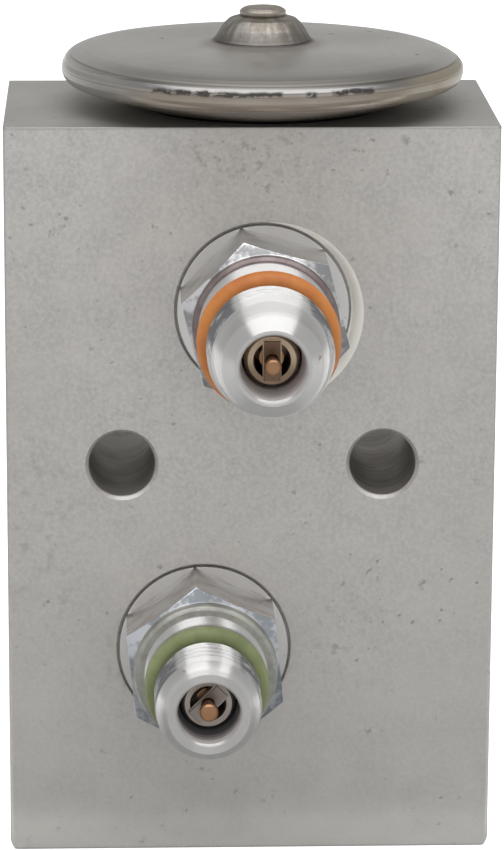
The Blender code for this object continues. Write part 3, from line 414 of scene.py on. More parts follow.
def block_material():
    """Satin aluminium with fine dark pits, faint mottling, smudges and a few hair scratches, and painted
    shade and light up the block, on its top, along its front edges, in the bracket holes and on the relief.
    """
    n = Nodes("block_satin")
    x, y, z = n.axes()
    grain = n.noise(2600, 3, 0.6)
    mottle = n.noise(230, 6, 0.68)
    cloud = n.noise(38, 3, 0.5, seed=3.1)
    base = n.mix(n.span(mottle, 0.3, 0.7), grey(0.57, 0.025), grey(0.68, 0.03))
    base = n.mix(n.rises(grain, 0.35, 0.7, 0.5), base, grey(0.8, 0.025))
    base = n.mix(n.rises(cloud, 0.35, 0.75, 0.3), base, (0.55, 0.525, 0.47, 1))
    # Painted shade: the top face is painted darker than the front.
    shaded_top_face = n.rises(z, BLOCK_TOP - 0.3 * MM, BLOCK_TOP - 0.05 * MM, 0.75)
    base = n.mix(shaded_top_face, base, (0.47, 0.46, 0.44, 1))

    # Painted shade and painted light that fade out up the block, darker at the foot and lighter low down:
    # two heights in millimetres, share and colour
    for low, high, share, colour in (
        (1.0, 9.0, 0.3, (0.34, 0.33, 0.31, 1)),
        (9.0, 42.0, 0.45, (0.85, 0.83, 0.79, 1)),
        (-0.8, 3.2, 0.75, (0.12, 0.118, 0.112, 1)),
    ):
        base = n.mix(n.falls(z, low * MM, high * MM, share), base, colour)
    half_width = BLOCK_SIZE.x / 2
    # Painted shade: a thin dark line along the front face's side edges and foot.
    side_edge = n.span(n.math("ABSOLUTE", x), half_width - 0.22 * MM, half_width - 0.08 * MM)
    foot_edge = n.falls(z, 0.06 * MM, 0.22 * MM)
    on_front = n.falls(y, FRONT_FACE + 0.15 * MM, FRONT_FACE + 0.5 * MM)
    edge = n.times(n.math("MAXIMUM", side_edge, foot_edge), on_front, 0.6)
    base = n.mix(edge, base, (0.14, 0.135, 0.13, 1))

    where = n.noise(120, 4, 0.6, seed=5.3)
    pit = n.times(n.span(n.noise(1050, 2, 0.5, seed=1.7), 0.65, 0.72), n.span(where, 0.42, 0.62))
    speck = n.times(n.span(n.noise(420, 3, 0.6, seed=8.9), 0.645, 0.74), n.span(where, 0.5, 0.66))
    near_top = n.spot((1.0 * MM, 0, 64.0 * MM), (16 * MM, 40 * MM, 7 * MM))
    dot = n.times(n.span(n.noise(2100, 2, 0.5, seed=21.0), 0.63, 0.72), near_top)
    for mark, share, colour in (
        (pit, 0.45, (0.15, 0.14, 0.125, 1)),
        (speck, 0.7, (0.16, 0.15, 0.14, 1)),
        (dot, 0.4, (0.2, 0.185, 0.17, 1)),
    ):
        base = n.mix(n.times(mark, share), base, colour)

    # Stained spots: centre and reach in millimetres, and share
    stains = n.noise(900, 4, 0.65, seed=12.4)
    for centre, reach, share in (
        ((-1.0, 0, 65.5), (9.0, 30, 3.6), 0.5),
        ((-11.0, 0, 16.0), (7.0, 30, 9.0), 0.2),
        ((9.0, 0, 21.0), (8.0, 30, 10.0), 0.18),
        ((-19.0, 0, 30.0), (6.0, 30, 16.0), 0.2),
    ):
        here = n.spot([c * MM for c in centre], [r * MM for r in reach])
        base = n.mix(n.times(here, n.span(stains, 0.5, 0.7), share), base, (0.2, 0.16, 0.125, 1))
    scratch_lines = n.noise(90, 2, 0.5, stretch=(34, 34, 2.4), seed=2.2)
    scratches = n.times(n.span(scratch_lines, 0.69, 0.73), n.span(cloud, 0.5, 0.65), 0.12)
    base = n.mix(scratches, base, grey(0.75))

    axis = LOW_SIDE["place"].translation
    relief_axis = axis + Vector((RELIEF_SHIFT.x, 0, RELIEF_SHIFT.y))
    # Painted highlight: the relief cone round the upper fitting is painted pale; its roughness is also
    # lowered below.
    relief = n.times(
        n.falls(n.from_axis(relief_axis), RELIEF, RELIEF + 0.04 * MM),
        n.span(n.from_axis(axis), SPOTFACE + 0.03 * MM, SPOTFACE + 0.07 * MM),
        n.falls(y, FRONT_FACE + 0.6 * MM, FRONT_FACE + 0.8 * MM),
    )
    base = n.mix(relief, base, (0.97, 0.95, 0.89, 1))
    # Painted shade: the bracket hole walls are painted darker than the faces, over fine rings.
    rings = n.noise(900, 3, 0.6, stretch=(0.08, 1.0, 0.08), seed=7.1)
    shaded_hole_wall = n.mix(n.span(rings, 0.4, 0.65), (0.4, 0.375, 0.345, 1), (0.26, 0.245, 0.22, 1))
    in_hole = 0.0
    for hole in BRACKET_HOLES:
        inside = n.falls(n.from_axis(hole), BRACKET_RADIUS + 0.02 * MM, BRACKET_RADIUS + 0.1 * MM)
        in_hole = n.math("MAXIMUM", in_hole, inside)
    base = n.mix(n.times(in_hole, 0.8), base, shaded_hole_wall)

    n.set(Base_Color=base, Metallic=0.9, Specular_IOR_Level=0.5)
    n.set(Roughness=n.math("SUBTRACT", n.span(mottle, 0.3, 0.7, 0.5, 0.6), n.times(relief, 0.15)))
    normal = n.bump(grain, 0.02 * MM, 0.5)
    n.set(Normal=n.bump(n.math("ADD", pit, speck), 0.03 * MM, -0.5, normal))
    return n.owner


def weld_mask(n, rim):
    """Ragged soot along the head's seam, in the stretches where the weld shows."""
    x, y, z = n.axes()
    angle = n.math("ARCTAN2", y, x)
    shown = 0.0
    for start, end, strength in WELD_STRETCHES:
        centre, half = math.radians((start + end) / 2), math.radians((end - start) / 2)
        shown = n.math("MAXIMUM", shown, n.falls(n.off(angle, centre), half - 0.03, half, strength))
    along = n.combined(n.times(angle, RIM_RADIUS * 0.55), z)
    ragged = n.noise(1700, 5, 0.7, vector=along)
    broad = n.noise(900, 2, 0.5, vector=along, seed=5.5)
    wander = n.times(n.math("SUBTRACT", broad, 0.5), 0.5 * MM)
    near = n.falls(n.off(n.math("ADD", z, wander), 71.8 * MM), 0.0, 0.36 * MM)
    soot = n.times(near, shown, n.span(ragged, 0.36, 0.54, 0.0, 1.6), clamp=True)
    return n.times(soot, 0.92, rim)


def head_material():
    """Dull pressed steel, its rim polished, tinted by heat and blackened along the weld, with painted
    shade, light and reflection on the cover, rim and dish and round the plug.
    """
    n = Nodes("head_steel_worn")
    x, y, z = n.axes()
    radius = n.radius(x, y)
    across = n.math("ABSOLUTE", x)
    fine = n.noise(900, 4, 0.6)
    cloud = n.noise(90, 4, 0.55, seed=2.6)
    base = n.mix(n.span(cloud, 0.3, 0.7), (0.57, 0.55, 0.52, 1), (0.67, 0.65, 0.615, 1))
    base = n.mix(n.rises(fine, 0.4, 0.75, 0.2), base, grey(0.75, 0.03))

    # The rim, below the crease. The crease stands higher at the left end.
    past_crease = n.span(radius, 17.72 * MM, 17.84 * MM)
    lifted = n.falls(x, -17.5 * MM, -11.0 * MM, 0.35 * MM)
    rim = n.times(past_crease, n.falls(n.math("ADD", z, lifted), 72.42 * MM, 72.6 * MM))
    front = n.falls(across, 10.0 * MM, 14.5 * MM)
    end_colour = n.mix(n.span(x, -5 * MM, 5 * MM), (0.24, 0.235, 0.222, 1), (0.235, 0.2, 0.14, 1))
    polished = n.times(rim, n.span(z, 71.5 * MM, 71.9 * MM), 0.9)
    base = n.mix(polished, base, n.mix(front, end_colour, (0.25, 0.243, 0.24, 1)))
    patch = n.span(n.noise(160, 3, 0.5, seed=7.7), 0.3, 0.65, 0.75, 1.0)
    tinted = n.times(rim, n.falls(z, 71.55 * MM, 71.95 * MM), patch)
    base = n.mix(tinted, base, n.mix(front, end_colour, (0.4, 0.345, 0.29, 1)))

    # The cover above the crease
    # Painted shade on the cover's front edge, above the crease.
    front_brink_shade = n.times(
        n.span(radius, 15.5 * MM, 17.5 * MM),
        n.falls(y, -14 * MM, -2 * MM, 0.72),
        n.span(across, 12 * MM, 17 * MM, 1.0, 0.25),
        n.span(z, 72.25 * MM, 72.35 * MM),
    )
    base = n.mix(front_brink_shade, base, (0.15, 0.14, 0.125, 1))
    # Painted light: the rim's front half is toned lighter and greyer.
    rim_front_light = n.falls(y, -15 * MM, -3 * MM, 0.35)
    base = n.mix(rim_front_light, base, n.mix(rim, (0.4, 0.38, 0.355, 1), base))
    # Painted shade in the crease, on the front side only.
    crease = n.times(
        n.falls(n.off(radius, 17.75 * MM), 0.03 * MM, 0.12 * MM, 0.7),
        n.span(z, 72.2 * MM, 72.3 * MM),
        n.falls(y, -6 * MM, 0),
    )
    base = n.mix(crease, base, (0.14, 0.125, 0.11, 1))
    # Painted shade under the head: the dish's underside is painted dark, over a brown tint.
    dish = n.times(n.falls(radius, 17.4 * MM, 17.9 * MM), n.falls(z, 70.6 * MM, 71.2 * MM))
    base = n.mix(dish, base, (0.3, 0.265, 0.225, 1))
    on_cover = n.span(z, 73.0 * MM, 73.2 * MM)
    # Painted shade round the plug's foot on the cover.
    plug_foot_shade = n.times(n.falls(radius, 4.6 * MM, 6.6 * MM, 0.45), on_cover)
    base = n.mix(plug_foot_shade, base, (0.28, 0.235, 0.2, 1))
    plug_line = n.times(n.falls(radius, 4.5 * MM, 4.95 * MM, 0.75), on_cover)
    base = n.mix(plug_line, base, (0.12, 0.105, 0.095, 1))
    # Painted light: the rim's left end is painted lighter.
    left_rim_light = n.falls(x, -16 * MM, -6 * MM, 0.22)
    base = n.mix(left_rim_light, base, n.mix(rim, (0.8, 0.78, 0.74, 1), base))
    # Painted reflection of the plug: a dark mottled patch on the dome in front of it.
    plug_reflection = n.times(
        n.spot((0.1 * MM, -9.5 * MM, 73.4 * MM), (3.1 * MM, 8.0 * MM, 4 * MM)),
        n.span(n.noise(230, 3, 0.6, stretch=(1, 0.4, 1), seed=4.2), 0.25, 0.65),
        0.42,
    )
    base = n.mix(plug_reflection, base, (0.13, 0.12, 0.115, 1))
    nicks = n.noise(700, 2, 0.5, seed=9.3)
    base = n.mix(n.rises(nicks, 0.71, 0.77, 0.5), base, (0.12, 0.1, 0.09, 1))

    weld = weld_mask(n, rim)
    n.set(Base_Color=n.mix(weld, base, (0.04, 0.035, 0.032, 1)))
    dull_end = n.times(rim, n.math("SUBTRACT", 1.0, front))
    metal = n.math("SUBTRACT", 1.0, n.times(weld, 0.5))
    n.set(Metallic=n.math("SUBTRACT", metal, n.times(dull_end, 0.75), clamp=True))
    n.set(Specular_IOR_Level=n.span(dull_end, 0.0, 1.0, 0.5, 0.15))
    bead = n.times(n.span(z, 70.1 * MM, 70.3 * MM), past_crease)
    n.set(Roughness=n.math("ADD", n.span(bead, 0.0, 1.0, 0.42, 0.3), n.times(weld, 0.4)))
    turning = n.noise(1500, 2, 0.5, vector=n.turned_vector())
    n.set(Normal=n.bump(turning, 0.01 * MM, 0.2, n.bump(fine, 0.02 * MM, 0.25)))
    return n.owner


def plug_material():
    """The charge plug: painted shade round its foot, lighter streaks down its cone."""
    n = Nodes("plug_steel_worn")
    x, y, z = n.axes()
    down_cone = n.combined(n.times(n.math("ARCTAN2", y, x), 0.004), n.times(z, 0.15))
    streaks = n.noise(1500, 3, 0.55, vector=down_cone)
    fine = n.noise(1100, 4, 0.6)
    blotch = n.noise(560, 4, 0.65, seed=6.6)
    base = n.mix(n.span(streaks, 0.3, 0.7), (0.24, 0.225, 0.21, 1), (0.43, 0.41, 0.38, 1))
    base = n.mix(n.rises(blotch, 0.45, 0.62, 0.6), base, (0.2, 0.165, 0.13, 1))
    # Painted shade round the plug's foot.
    foot = n.falls(z, 74.0 * MM, 75.0 * MM, 0.7)
    base = n.mix(foot, base, (0.17, 0.16, 0.15, 1))
    cap = n.rises(z, 76.05 * MM, 76.15 * MM, 0.5)
    base = n.mix(cap, base, (0.46, 0.42, 0.36, 1))
    n.set(Base_Color=base, Metallic=1.0, Roughness=0.5)
    n.set(Normal=n.bump(n.math("ADD", fine, streaks), 0.04 * MM, 0.6))
    return n.owner


def turned_material(name, light, dark, roughness, anisotropy, above=None):
    """Turned metal, with fine rings round local Z; above gives a height and a painted shade colour, put
    past that height and on the lower half.
    """
    n = Nodes(name)
    coarse = n.noise(650, 2, 0.5, vector=n.turned_vector(), seed=1.3)
    cloud = n.noise(260, 4, 0.6, seed=6.1)
    base = n.mix(n.rises(cloud, 0.35, 0.75, 0.3), light, dark)
    base = n.mix(n.rises(coarse, 0.5, 0.75, 0.25), base, dark)
    if above:
        height, colour = above
        _, y, z = n.axes()
        # Painted shade: darker on the core's lower half, then past the given height over the bridge's top.
        base = n.mix(n.falls(y, -1.2 * MM, 0.6 * MM, 0.75), base, colour)
        base = n.mix(n.span(z, height, height + 0.08 * MM), base, colour)
    base = n.mix(n.nicks(), base, tuple(c * 0.35 for c in dark[:3]) + (1.0,))
    n.set(Base_Color=base, Metallic=1.0, Roughness=roughness)
    n.turned_finish(anisotropy, 0.2)
    return n.owner


def fitting_masks(n, side):
    """Where a fitting's chamfer, flats, collar, bore and thread are, and where shade and dark reflections
    are painted on its thread.
    """
    x, y, z = n.axes()
    radius = n.radius(x, y)
    collar, land, mouth_radius = (side[key] * MM for key in ("collar", "land", "mouth"))
    crest, thread_front, thread_back, _, depth = (value * MM for value in side["thread"])
    slope = HEX_CHAMFER_DROP / (HEX_EDGE - collar)
    over = n.math("ADD", z, n.times(n.math("SUBTRACT", radius, collar), slope))
    outside = n.span(radius, collar + 0.01 * MM, collar + 0.04 * MM)
    chamfer = n.times(outside, n.span(over, HEX_FRONT - 0.05 * MM, HEX_FRONT - 0.02 * MM))
    flats = n.math("SUBTRACT", outside, chamfer)
    before_hex = n.math("SUBTRACT", n.span(z, HEX_FRONT - 0.02 * MM, HEX_FRONT), outside)
    in_collar = n.times(n.span(radius, land + 0.03 * MM, land + 0.1 * MM), before_hex, clamp=True)
    in_bore = n.times(
        n.falls(radius, mouth_radius + 0.02 * MM, mouth_radius + 0.12 * MM),
        n.falls(z, side["tip"] - 0.3 * MM, side["tip"] - 0.1 * MM),
    )
    # Where painted shade goes in the thread's grooves.
    groove_shade = n.times(
        n.falls(radius, crest - depth * 0.75, crest - depth * 0.25),
        n.span(z, thread_back, thread_back + 0.1 * MM),
        n.falls(z, thread_front - 1.5 * MM, thread_front - 1.3 * MM),
    )
    # Where dark reflections are painted, on the thread's upper sides.
    thread_side_reflection = n.times(
        n.span(n.math("DIVIDE", n.math("ABSOLUTE", x), radius), 0.56, 0.66),
        n.span(radius, crest - depth, crest - depth * 0.8),
        n.span(z, thread_back - 0.5 * MM, thread_back),
        n.falls(z, thread_front - 1.1 * MM, thread_front - 0.4 * MM),
        n.span(y, -1 * MM, 1.5 * MM),
    )
    return chamfer, flats, in_collar, in_bore, groove_shade, thread_side_reflection


def fitting_material(side):
    """Bright turned metal whose hexagon, chamfer, collar and bore each have their own surface, with painted
    shade in the thread's grooves and painted dark reflections streaked down its sides.
    """
    n = Nodes(f"{side['name']}_fitting_turned")
    x, y, z = n.axes()
    chamfer, flats, in_collar, in_bore, groove_shade, thread_side_reflection = fitting_masks(n, side)
    coarse = n.noise(650, 2, 0.5, vector=n.turned_vector(), seed=1.3)
    cloud = n.noise(260, 4, 0.6, seed=6.1)
    blotch = n.noise(520, 4, 0.65, seed=2.7)
    base = n.mix(n.rises(cloud, 0.35, 0.75, 0.3), grey(0.76, 0.008), grey(0.58, 0.02))
    base = n.mix(n.rises(coarse, 0.5, 0.75, 0.25), base, grey(0.6, 0.02))

    smears = n.noise(420, 4, 0.6, stretch=(1.0, 1.0, 2.6), seed=4.4)
    dents = n.noise(1300, 3, 0.6, seed=8.8)
    flange = n.falls(z, 0.02 * MM, 0.08 * MM)
    flat_colour = n.mix(n.span(smears, 0.4, 0.68), grey(0.64, 0.01), side["flat_stain"])
    flat_colour = n.mix(n.rises(dents, 0.62, 0.74, 0.6), flat_colour, grey(0.25, 0.04))
    flat_colour = n.mix(flange, flat_colour, grey(0.73, 0.02))
    bore_colour = n.mix(n.span(coarse, 0.4, 0.65), (0.9, 0.865, 0.86, 1), (0.4, 0.36, 0.36, 1))
    crest = side["thread"][0] * MM
    # Streaks for the painted dark reflections on the thread's sides.
    around = n.combined(n.times(n.math("ARCTAN2", y, x), crest * 0.3), n.times(z, 1.8))
    streaks = n.span(n.noise(1500, 4, 0.65, vector=around, seed=3.9), 0.34, 0.5)
    base = n.mix(flats, base, flat_colour)
    base = n.mix(chamfer, base, n.mix(n.span(blotch, 0.44, 0.6), *side["chamfer_colours"]))
    base = n.mix(in_collar, base, n.mix(n.span(blotch, 0.35, 0.7), *side["collar_colours"]))
    base = n.mix(in_bore, base, bore_colour)
    # Painted shade in the thread's grooves.
    base = n.mix(n.times(groove_shade, 0.8), base, (0.17, 0.18, 0.2, 1))
    # Painted dark reflections, streaked down the thread's sides.
    base = n.mix(n.times(streaks, thread_side_reflection, 0.72), base, (0.12, 0.125, 0.15, 1))
    base = n.mix(n.nicks(), base, grey(0.2, 0.02))
    n.set(Base_Color=base, Metallic=n.span(in_bore, 0.0, 1.0, 1.0, 0.45))

    not_turned = n.math("ADD", n.math("ADD", flats, chamfer), in_bore)
    not_turned = n.math("ADD", not_turned, in_collar, clamp=True)
    turned = n.math("SUBTRACT", 1.0, not_turned)
    thread_start = (side["thread"][2] - 1.0) * MM
    past_hex = n.span(z, HEX_FRONT, HEX_FRONT + 0.1 * MM)
    land = n.math("SUBTRACT", past_hex, n.span(z, thread_start, thread_start + 0.1 * MM))
    dull = n.math("ADD", n.times(in_bore, 0.25), n.times(in_collar, 0.2))
    dull = n.math("ADD", dull, n.times(turned, n.span(land, 0.0, 1.0, 0.09, 0.17)))
    n.set(Roughness=n.math("ADD", dull, 0.3))
    n.turned_finish(turned, 0.3)
    return n.owner


def rubber_material(name, light, dark, roughness):
    """Moulded rubber, a little dusty."""
    n = Nodes(name)
    cloud = n.noise(320, 4, 0.6)
    fine = n.noise(2200, 3, 0.6)
    base = n.mix(n.span(cloud, 0.3, 0.75), light, dark)
    n.set(Base_Color=base, Roughness=roughness, Specular_IOR_Level=0.4)
    n.set(Normal=n.bump(fine, 0.02 * MM, 0.25))
    return n.owner


def plain_metal(name, colour, roughness):
    """Clean metal for what is inside."""
    n = Nodes(name)
    fine = n.noise(1400, 3, 0.6)
    n.set(Base_Color=n.mix(n.rises(fine, 0.3, 0.8, 0.3), colour, grey(0.3)))
    n.set(Metallic=1.0, Roughness=roughness)
    n.set(Normal=n.bump(fine, 0.01 * MM, 0.2))
    return n.owner


# Block

BRACKET_HOLES = (Vector((-11.75, 0, 36.97)) * MM, Vector((11.95, 0, 36.97)) * MM)
BRACKET_RADIUS = 3.0 * MM
BRACKET_CHAMFER = 0.32 * MM
EDGE_BEVEL = 1.0 * MM
FOOT_EDGE, UPRIGHT_EDGE, OTHER_EDGE = 1.0, 0.4, 0.07

SUCTION_Z = middle("low_side_nose_ring").z
LIQUID_Z = middle("high_side_nose_ring").z
OUTLET_Z = 27.5 * MM
PORT_DEPTH = 8.0 * MM
PORT_CHAMFER = 0.6 * MM
SUCTION_PORT, SUCTION_WAY = 7.6 * MM, 5.5 * MM
LIQUID_PORT, LIQUID_WAY, LIQUID_END = 5.0 * MM, 3.4 * MM, 2.15 * MM
OUTLET_PORT, OUTLET_WAY, OUTLET_END = 5.5 * MM, 4.3 * MM, STEM.x - 2.0 * MM
PLATE_SCREW, PLATE_SCREW_CHAMFER = 2.5 * MM, 0.4 * MM
PLATE_SCREW_Z = 38.4 * MM
PLATE_SCREW_DEPTH = 6.3 * MM

# The bores a service fitting sits in: radii, and depths from the front face
SPOTFACE, SPOTFACE_DEPTH = 7.94 * MM, 0.8 * MM
SPOTFACE_CHAMFER = 0.1 * MM
SEAL_POCKET, SEAL_DEPTH = 6.0 * MM, 2.3 * MM
SHANK_BORE, SHANK_DEPTH = 4.9 * MM, 6.5 * MM
GAUGE_WAY, GAUGE_DEPTH = 1.6 * MM, 12.7 * MM

# The shallow cone round the upper fitting, painted pale by the block's material as a painted highlight
RELIEF = 8.36 * MM
RELIEF_SHIFT = Vector((0.7, -0.36, 0)) * MM
RELIEF_DEPTH = 0.4 * MM
RELIEF_SLOPE = 2.2


def bore(stations, segments=HOLE_ROUND):
    """A cutter mesh turned through (radius, height) stations from its mouth to its end."""
    points = [(0, stations[0][1]), *stations, (0, stations[-1][1])]
    return lathe_mesh("bore", points, segments)


def mouth(radius, face, chamfer):
    """A chamfered mouth's stations, from past the face inwards."""
    return [(radius + chamfer + PAST, face + PAST), (radius, face - chamfer)]


def port(radius, way):
    """A pipe port's stations from its chamfered mouth to the start of the way behind it."""
    half = BLOCK_SIZE.x / 2
    return mouth(radius, half, PORT_CHAMFER) + [(radius, half - PORT_DEPTH), (way, half - PORT_DEPTH)]


def block_blank():
    """The plain block, its edges softened."""
    bm = bmesh.new()
    bmesh.ops.create_cube(bm, size=1)
    bmesh.ops.scale(bm, vec=BLOCK_SIZE, verts=bm.verts)
    bmesh.ops.translate(bm, vec=BLOCK_CENTRE, verts=bm.verts)
    weight = bm.edges.layers.float.new("bevel_weight_edge")
    for edge in bm.edges:
        along = edge.verts[1].co - edge.verts[0].co
        centre = (edge.verts[0].co + edge.verts[1].co) / 2
        if abs(along.z) > 0:
            edge[weight] = UPRIGHT_EDGE
        elif centre.z < BLOCK_CENTRE.z and abs(along.y) > 0:
            edge[weight] = FOOT_EDGE
        else:
            edge[weight] = OTHER_EDGE
    mesh = bpy.data.meshes.new("block")
    bm.to_mesh(mesh)
    bm.free()
    target = scratch_object("block_blank", mesh)
    bevel = target.modifiers.new("edges", "BEVEL")
    bevel.limit_method = "WEIGHT"
    bevel.width = EDGE_BEVEL
    bevel.segments = 6
    bpy.context.view_layer.update()
    blank = applied(target)
    drop(target)
    return blank


def side_cutters():
    """The pipe ports and their ways, and the clamp plates' screw holes."""
    suction = port(SUCTION_PORT, SUCTION_WAY)
    suction += [(r, -z) for r, z in suction[::-1]]
    liquid = port(LIQUID_PORT, LIQUID_WAY) + [(LIQUID_WAY, LIQUID_END)]
    outlet = port(OUTLET_PORT, OUTLET_WAY) + [(OUTLET_WAY, OUTLET_END)]
    cutters = [
        (bore(suction), out_of_side(SUCTION_Z, 1)),
        (bore(liquid), out_of_side(LIQUID_Z, -1)),
        (bore(outlet), out_of_side(OUTLET_Z, 1)),
    ]
    half = BLOCK_SIZE.x / 2
    for turn in (-1, 1):
        stations = mouth(PLATE_SCREW, half, PLATE_SCREW_CHAMFER) + [(PLATE_SCREW, half - PLATE_SCREW_DEPTH)]
        cutters.append((bore(stations, SMALL_ROUND), out_of_side(PLATE_SCREW_Z, turn)))
    return cutters


def stem_cutters():
    """The stepped bores down the stem axis: head neck, rod guide, ball chamber."""
    neck = [(11.1 * MM, BLOCK_TOP + PAST)]
    neck += mm((11.1, 66.0), (9.6, 66.0), (9.6, 59.7), (4.5, 59.7)) + [(4.5 * MM, SUCTION_Z)]
    guide = [(2.7 * MM, SUCTION_Z), *mm((2.7, 43.0), (1.5, 43.0)), (1.5 * MM, OUTLET_Z)]
    chamber = [(1.7 * MM, OUTLET_Z)]
    chamber += mm((1.7, 21.3), (5.0, 21.3), (5.0, 7.5), (6.4, 7.5), (6.4, 0.5)) + [(7.9 * MM, -PAST)]
    return [
        (bore(neck), stem_place()),
        (bore(guide, SMALL_ROUND), stem_place()),
        (bore(chamber), stem_place()),
    ]


def bracket_cutters():
    """The two bracket holes, right through."""
    back = -BLOCK_SIZE.y
    hole = mouth(BRACKET_RADIUS, 0, BRACKET_CHAMFER) + [
        (BRACKET_RADIUS, back + BRACKET_CHAMFER), (BRACKET_RADIUS + BRACKET_CHAMFER + PAST, back - PAST),
    ]
    return [(bore(hole), out_of_front(place.x, place.z)) for place in BRACKET_HOLES]


def fitting_cutters():
    """The bores of both service fittings, and the relief round the upper one."""
    seat = mouth(SPOTFACE, 0, SPOTFACE_CHAMFER) + [
        (SPOTFACE, -SPOTFACE_DEPTH), (SEAL_POCKET, -SPOTFACE_DEPTH), (SEAL_POCKET, -SEAL_DEPTH),
        (SHANK_BORE, -SEAL_DEPTH), (SHANK_BORE, -SHANK_DEPTH), (GAUGE_WAY, -SHANK_DEPTH),
        (GAUGE_WAY, -GAUGE_DEPTH),
    ]
    relief = [(RELIEF + PAST * RELIEF_SLOPE, PAST), (RELIEF - RELIEF_DEPTH * RELIEF_SLOPE, -RELIEF_DEPTH)]
    return [
        (bore(seat), LOW_SIDE["place"]),
        (bore(seat), HIGH_SIDE["place"]),
        (bore(relief), LOW_SIDE["place"] @ Matrix.Translation(RELIEF_SHIFT)),
    ]


def block_mesh():
    """The block with all its bores, its flat faces shaded flat."""
    cutters = bracket_cutters() + side_cutters() + stem_cutters() + fitting_cutters()
    mesh = cut(block_blank(), cutters)
    shade(mesh, 30)
    holder = scratch_object("block_normals", mesh)
    weighted = holder.modifiers.new("normals", "WEIGHTED_NORMAL")
    weighted.keep_sharp = True
    weighted.mode = "FACE_AREA"
    bpy.context.view_layer.update()
    result = applied(holder)
    drop(holder)
    return result


# Power head. Radii from its axis, heights in the valve's frame.

RIM_RADIUS = 18.42 * MM


def upper_shell_points():
    """The cover from the plug's foot over the dome to the seam, then back inside."""
    outer = mm(
        (1.5, 73.95), (4.42, 73.97, 0.05), (4.6, 73.86, 0.1), (4.95, 73.73, 0.3), (5.5, 73.62, 0.5),
        (6.4, 73.55, 0.8), (8.0, 73.53, 2), (11.0, 73.48, 3), (13.2, 73.41, 2), (15.0, 73.29, 1.5),
        (16.3, 73.06, 0.8), (17.0, 72.82, 0.5), (17.5, 72.57, 0.3), (17.78, 72.4, 0.05), (18.06, 72.2, 0.2),
        (18.27, 71.95, 0.2), (18.38, 71.72, 0.2), (18.41, 71.59), (17.9, 71.58),
    )
    inner = mm((17.5, 71.59), (17.5, 71.95), (15.8, 72.0), (13.0, 72.35), (5.3, 72.65), (1.5, 72.65))
    return dense(rounded(outer + inner, 6), 0.12 * MM, 71.5 * MM, 72.6 * MM)


def lower_shell_points():
    """The dish from the seam down over the lip to the flat, the neck, and back inside."""
    outer = mm(
        (17.9, 71.56), (18.41, 71.57), (18.42, 71.3, 0.2), (18.39, 71.0, 0.4), (18.28, 70.7, 0.4),
        (18.08, 70.42, 0.4), (17.75, 70.17, 0.4), (17.3, 70.0, 0.3), (15.0, 69.3, 2), (12.2, 68.42, 0.8),
        (11.4, 68.3, 0.8), (9.3, 68.3), (9.3, 60.5), (8.8, 60.0),
    )
    inner = mm((5.5, 60.0), (5.5, 69.2), (11.1, 69.2), (15.8, 71.2), (17.5, 71.2), (17.5, 71.55))
    return rounded(outer + inner, 6)


def bent(radius, height, angle):
    """The cover's shoulder stands a little higher at the head's left end."""
    across = max(0.0, -math.cos(angle))
    share = min(1.0, max(0.0, (height - 71.6 * MM) / (0.9 * MM)))
    return radius, height + 0.42 * MM * across**2.6 * (radius / RIM_RADIUS) ** 4 * share


# Where the seam weld shows: start and end in degrees round the head, and how strongly
WELD_STRETCHES = (
    (-125, -106, 1.0), (-107, -86, 0.8), (-81, -76.5, 0.8), (-73.5, -59, 1.0),
    (20, 60, 0.6), (85, 130, 0.7),
)


def weld_share(angle):
    """How strongly the seam is marked at an angle in radians."""
    degrees = (math.degrees(angle) + 180) % 360 - 180
    share = 0.0
    for start, end, strength in WELD_STRETCHES:
        edge = min(degrees - start, end - degrees)
        share = max(share, strength * min(1.0, max(0.0, edge / 1.5)))
    return share


def welded(radius, height, angle):
    """Bend the upper shell and roughen it along the weld."""
    share = weld_share(angle)
    near = max(0.0, 1 - abs(height - 71.85 * MM) / (0.45 * MM))
    if share and near and radius > 17.6 * MM:
        spot = Vector((angle * RIM_RADIUS / (0.6 * MM), height / (0.4 * MM), 0))
        radius += share * near * (noise.noise(spot) * 0.03 - 0.01) * MM
    return bent(radius, height, angle)


def charge_plug_points():
    """The weld collar's cone and the mushroomed cap."""
    return rounded(mm(
        (0, 76.93), (1.0, 76.94, 0.8), (1.7, 76.87, 0.4), (2.13, 76.6, 0.3), (2.12, 76.25, 0.2),
        (1.85, 76.14, 0.1), (2.4, 76.06, 0.3), (3.05, 75.86, 0.4), (3.5, 75.46, 0.5), (3.85, 75.0, 0.6),
        (4.1, 74.55, 0.5), (4.35, 74.15, 0.4), (4.48, 73.99), (1.2, 73.98), (1.2, 72.7), (0, 72.7),
    ), 5)


# Service fittings. Lengths are measured out from the block's front face.

HEX_APOTHEM = 6.72 * MM
HEX_CORNER = HEX_APOTHEM / math.cos(math.pi / 6)
HEX_EDGE = HEX_CORNER + 0.1 * MM
HEX_FRONT = 7.1 * MM
HEX_CHAMFER_DROP = 0.85 * MM
THREAD_STEP = 0.05 * MM
FLANGE_AND_SHANK = mm(
    (7.72, 0.0), (7.72, -0.5), (4.2, -0.5), (4.2, -2.3), (4.6, -2.3), (4.6, -6.2), (1.9, -6.2),
)

# A core's bridge and the hole through it. Depths are behind the fitting's tip.
BRIDGE_SIZE = (3.7 * MM, 1.6 * MM, 1.3 * MM)
BRIDGE_ROUNDING = 0.14 * MM
BRIDGE_DEPTH = 3.45 * MM
BRIDGE_HOLE, BRIDGE_HOLE_DEPTH = 0.62 * MM, 4.3 * MM

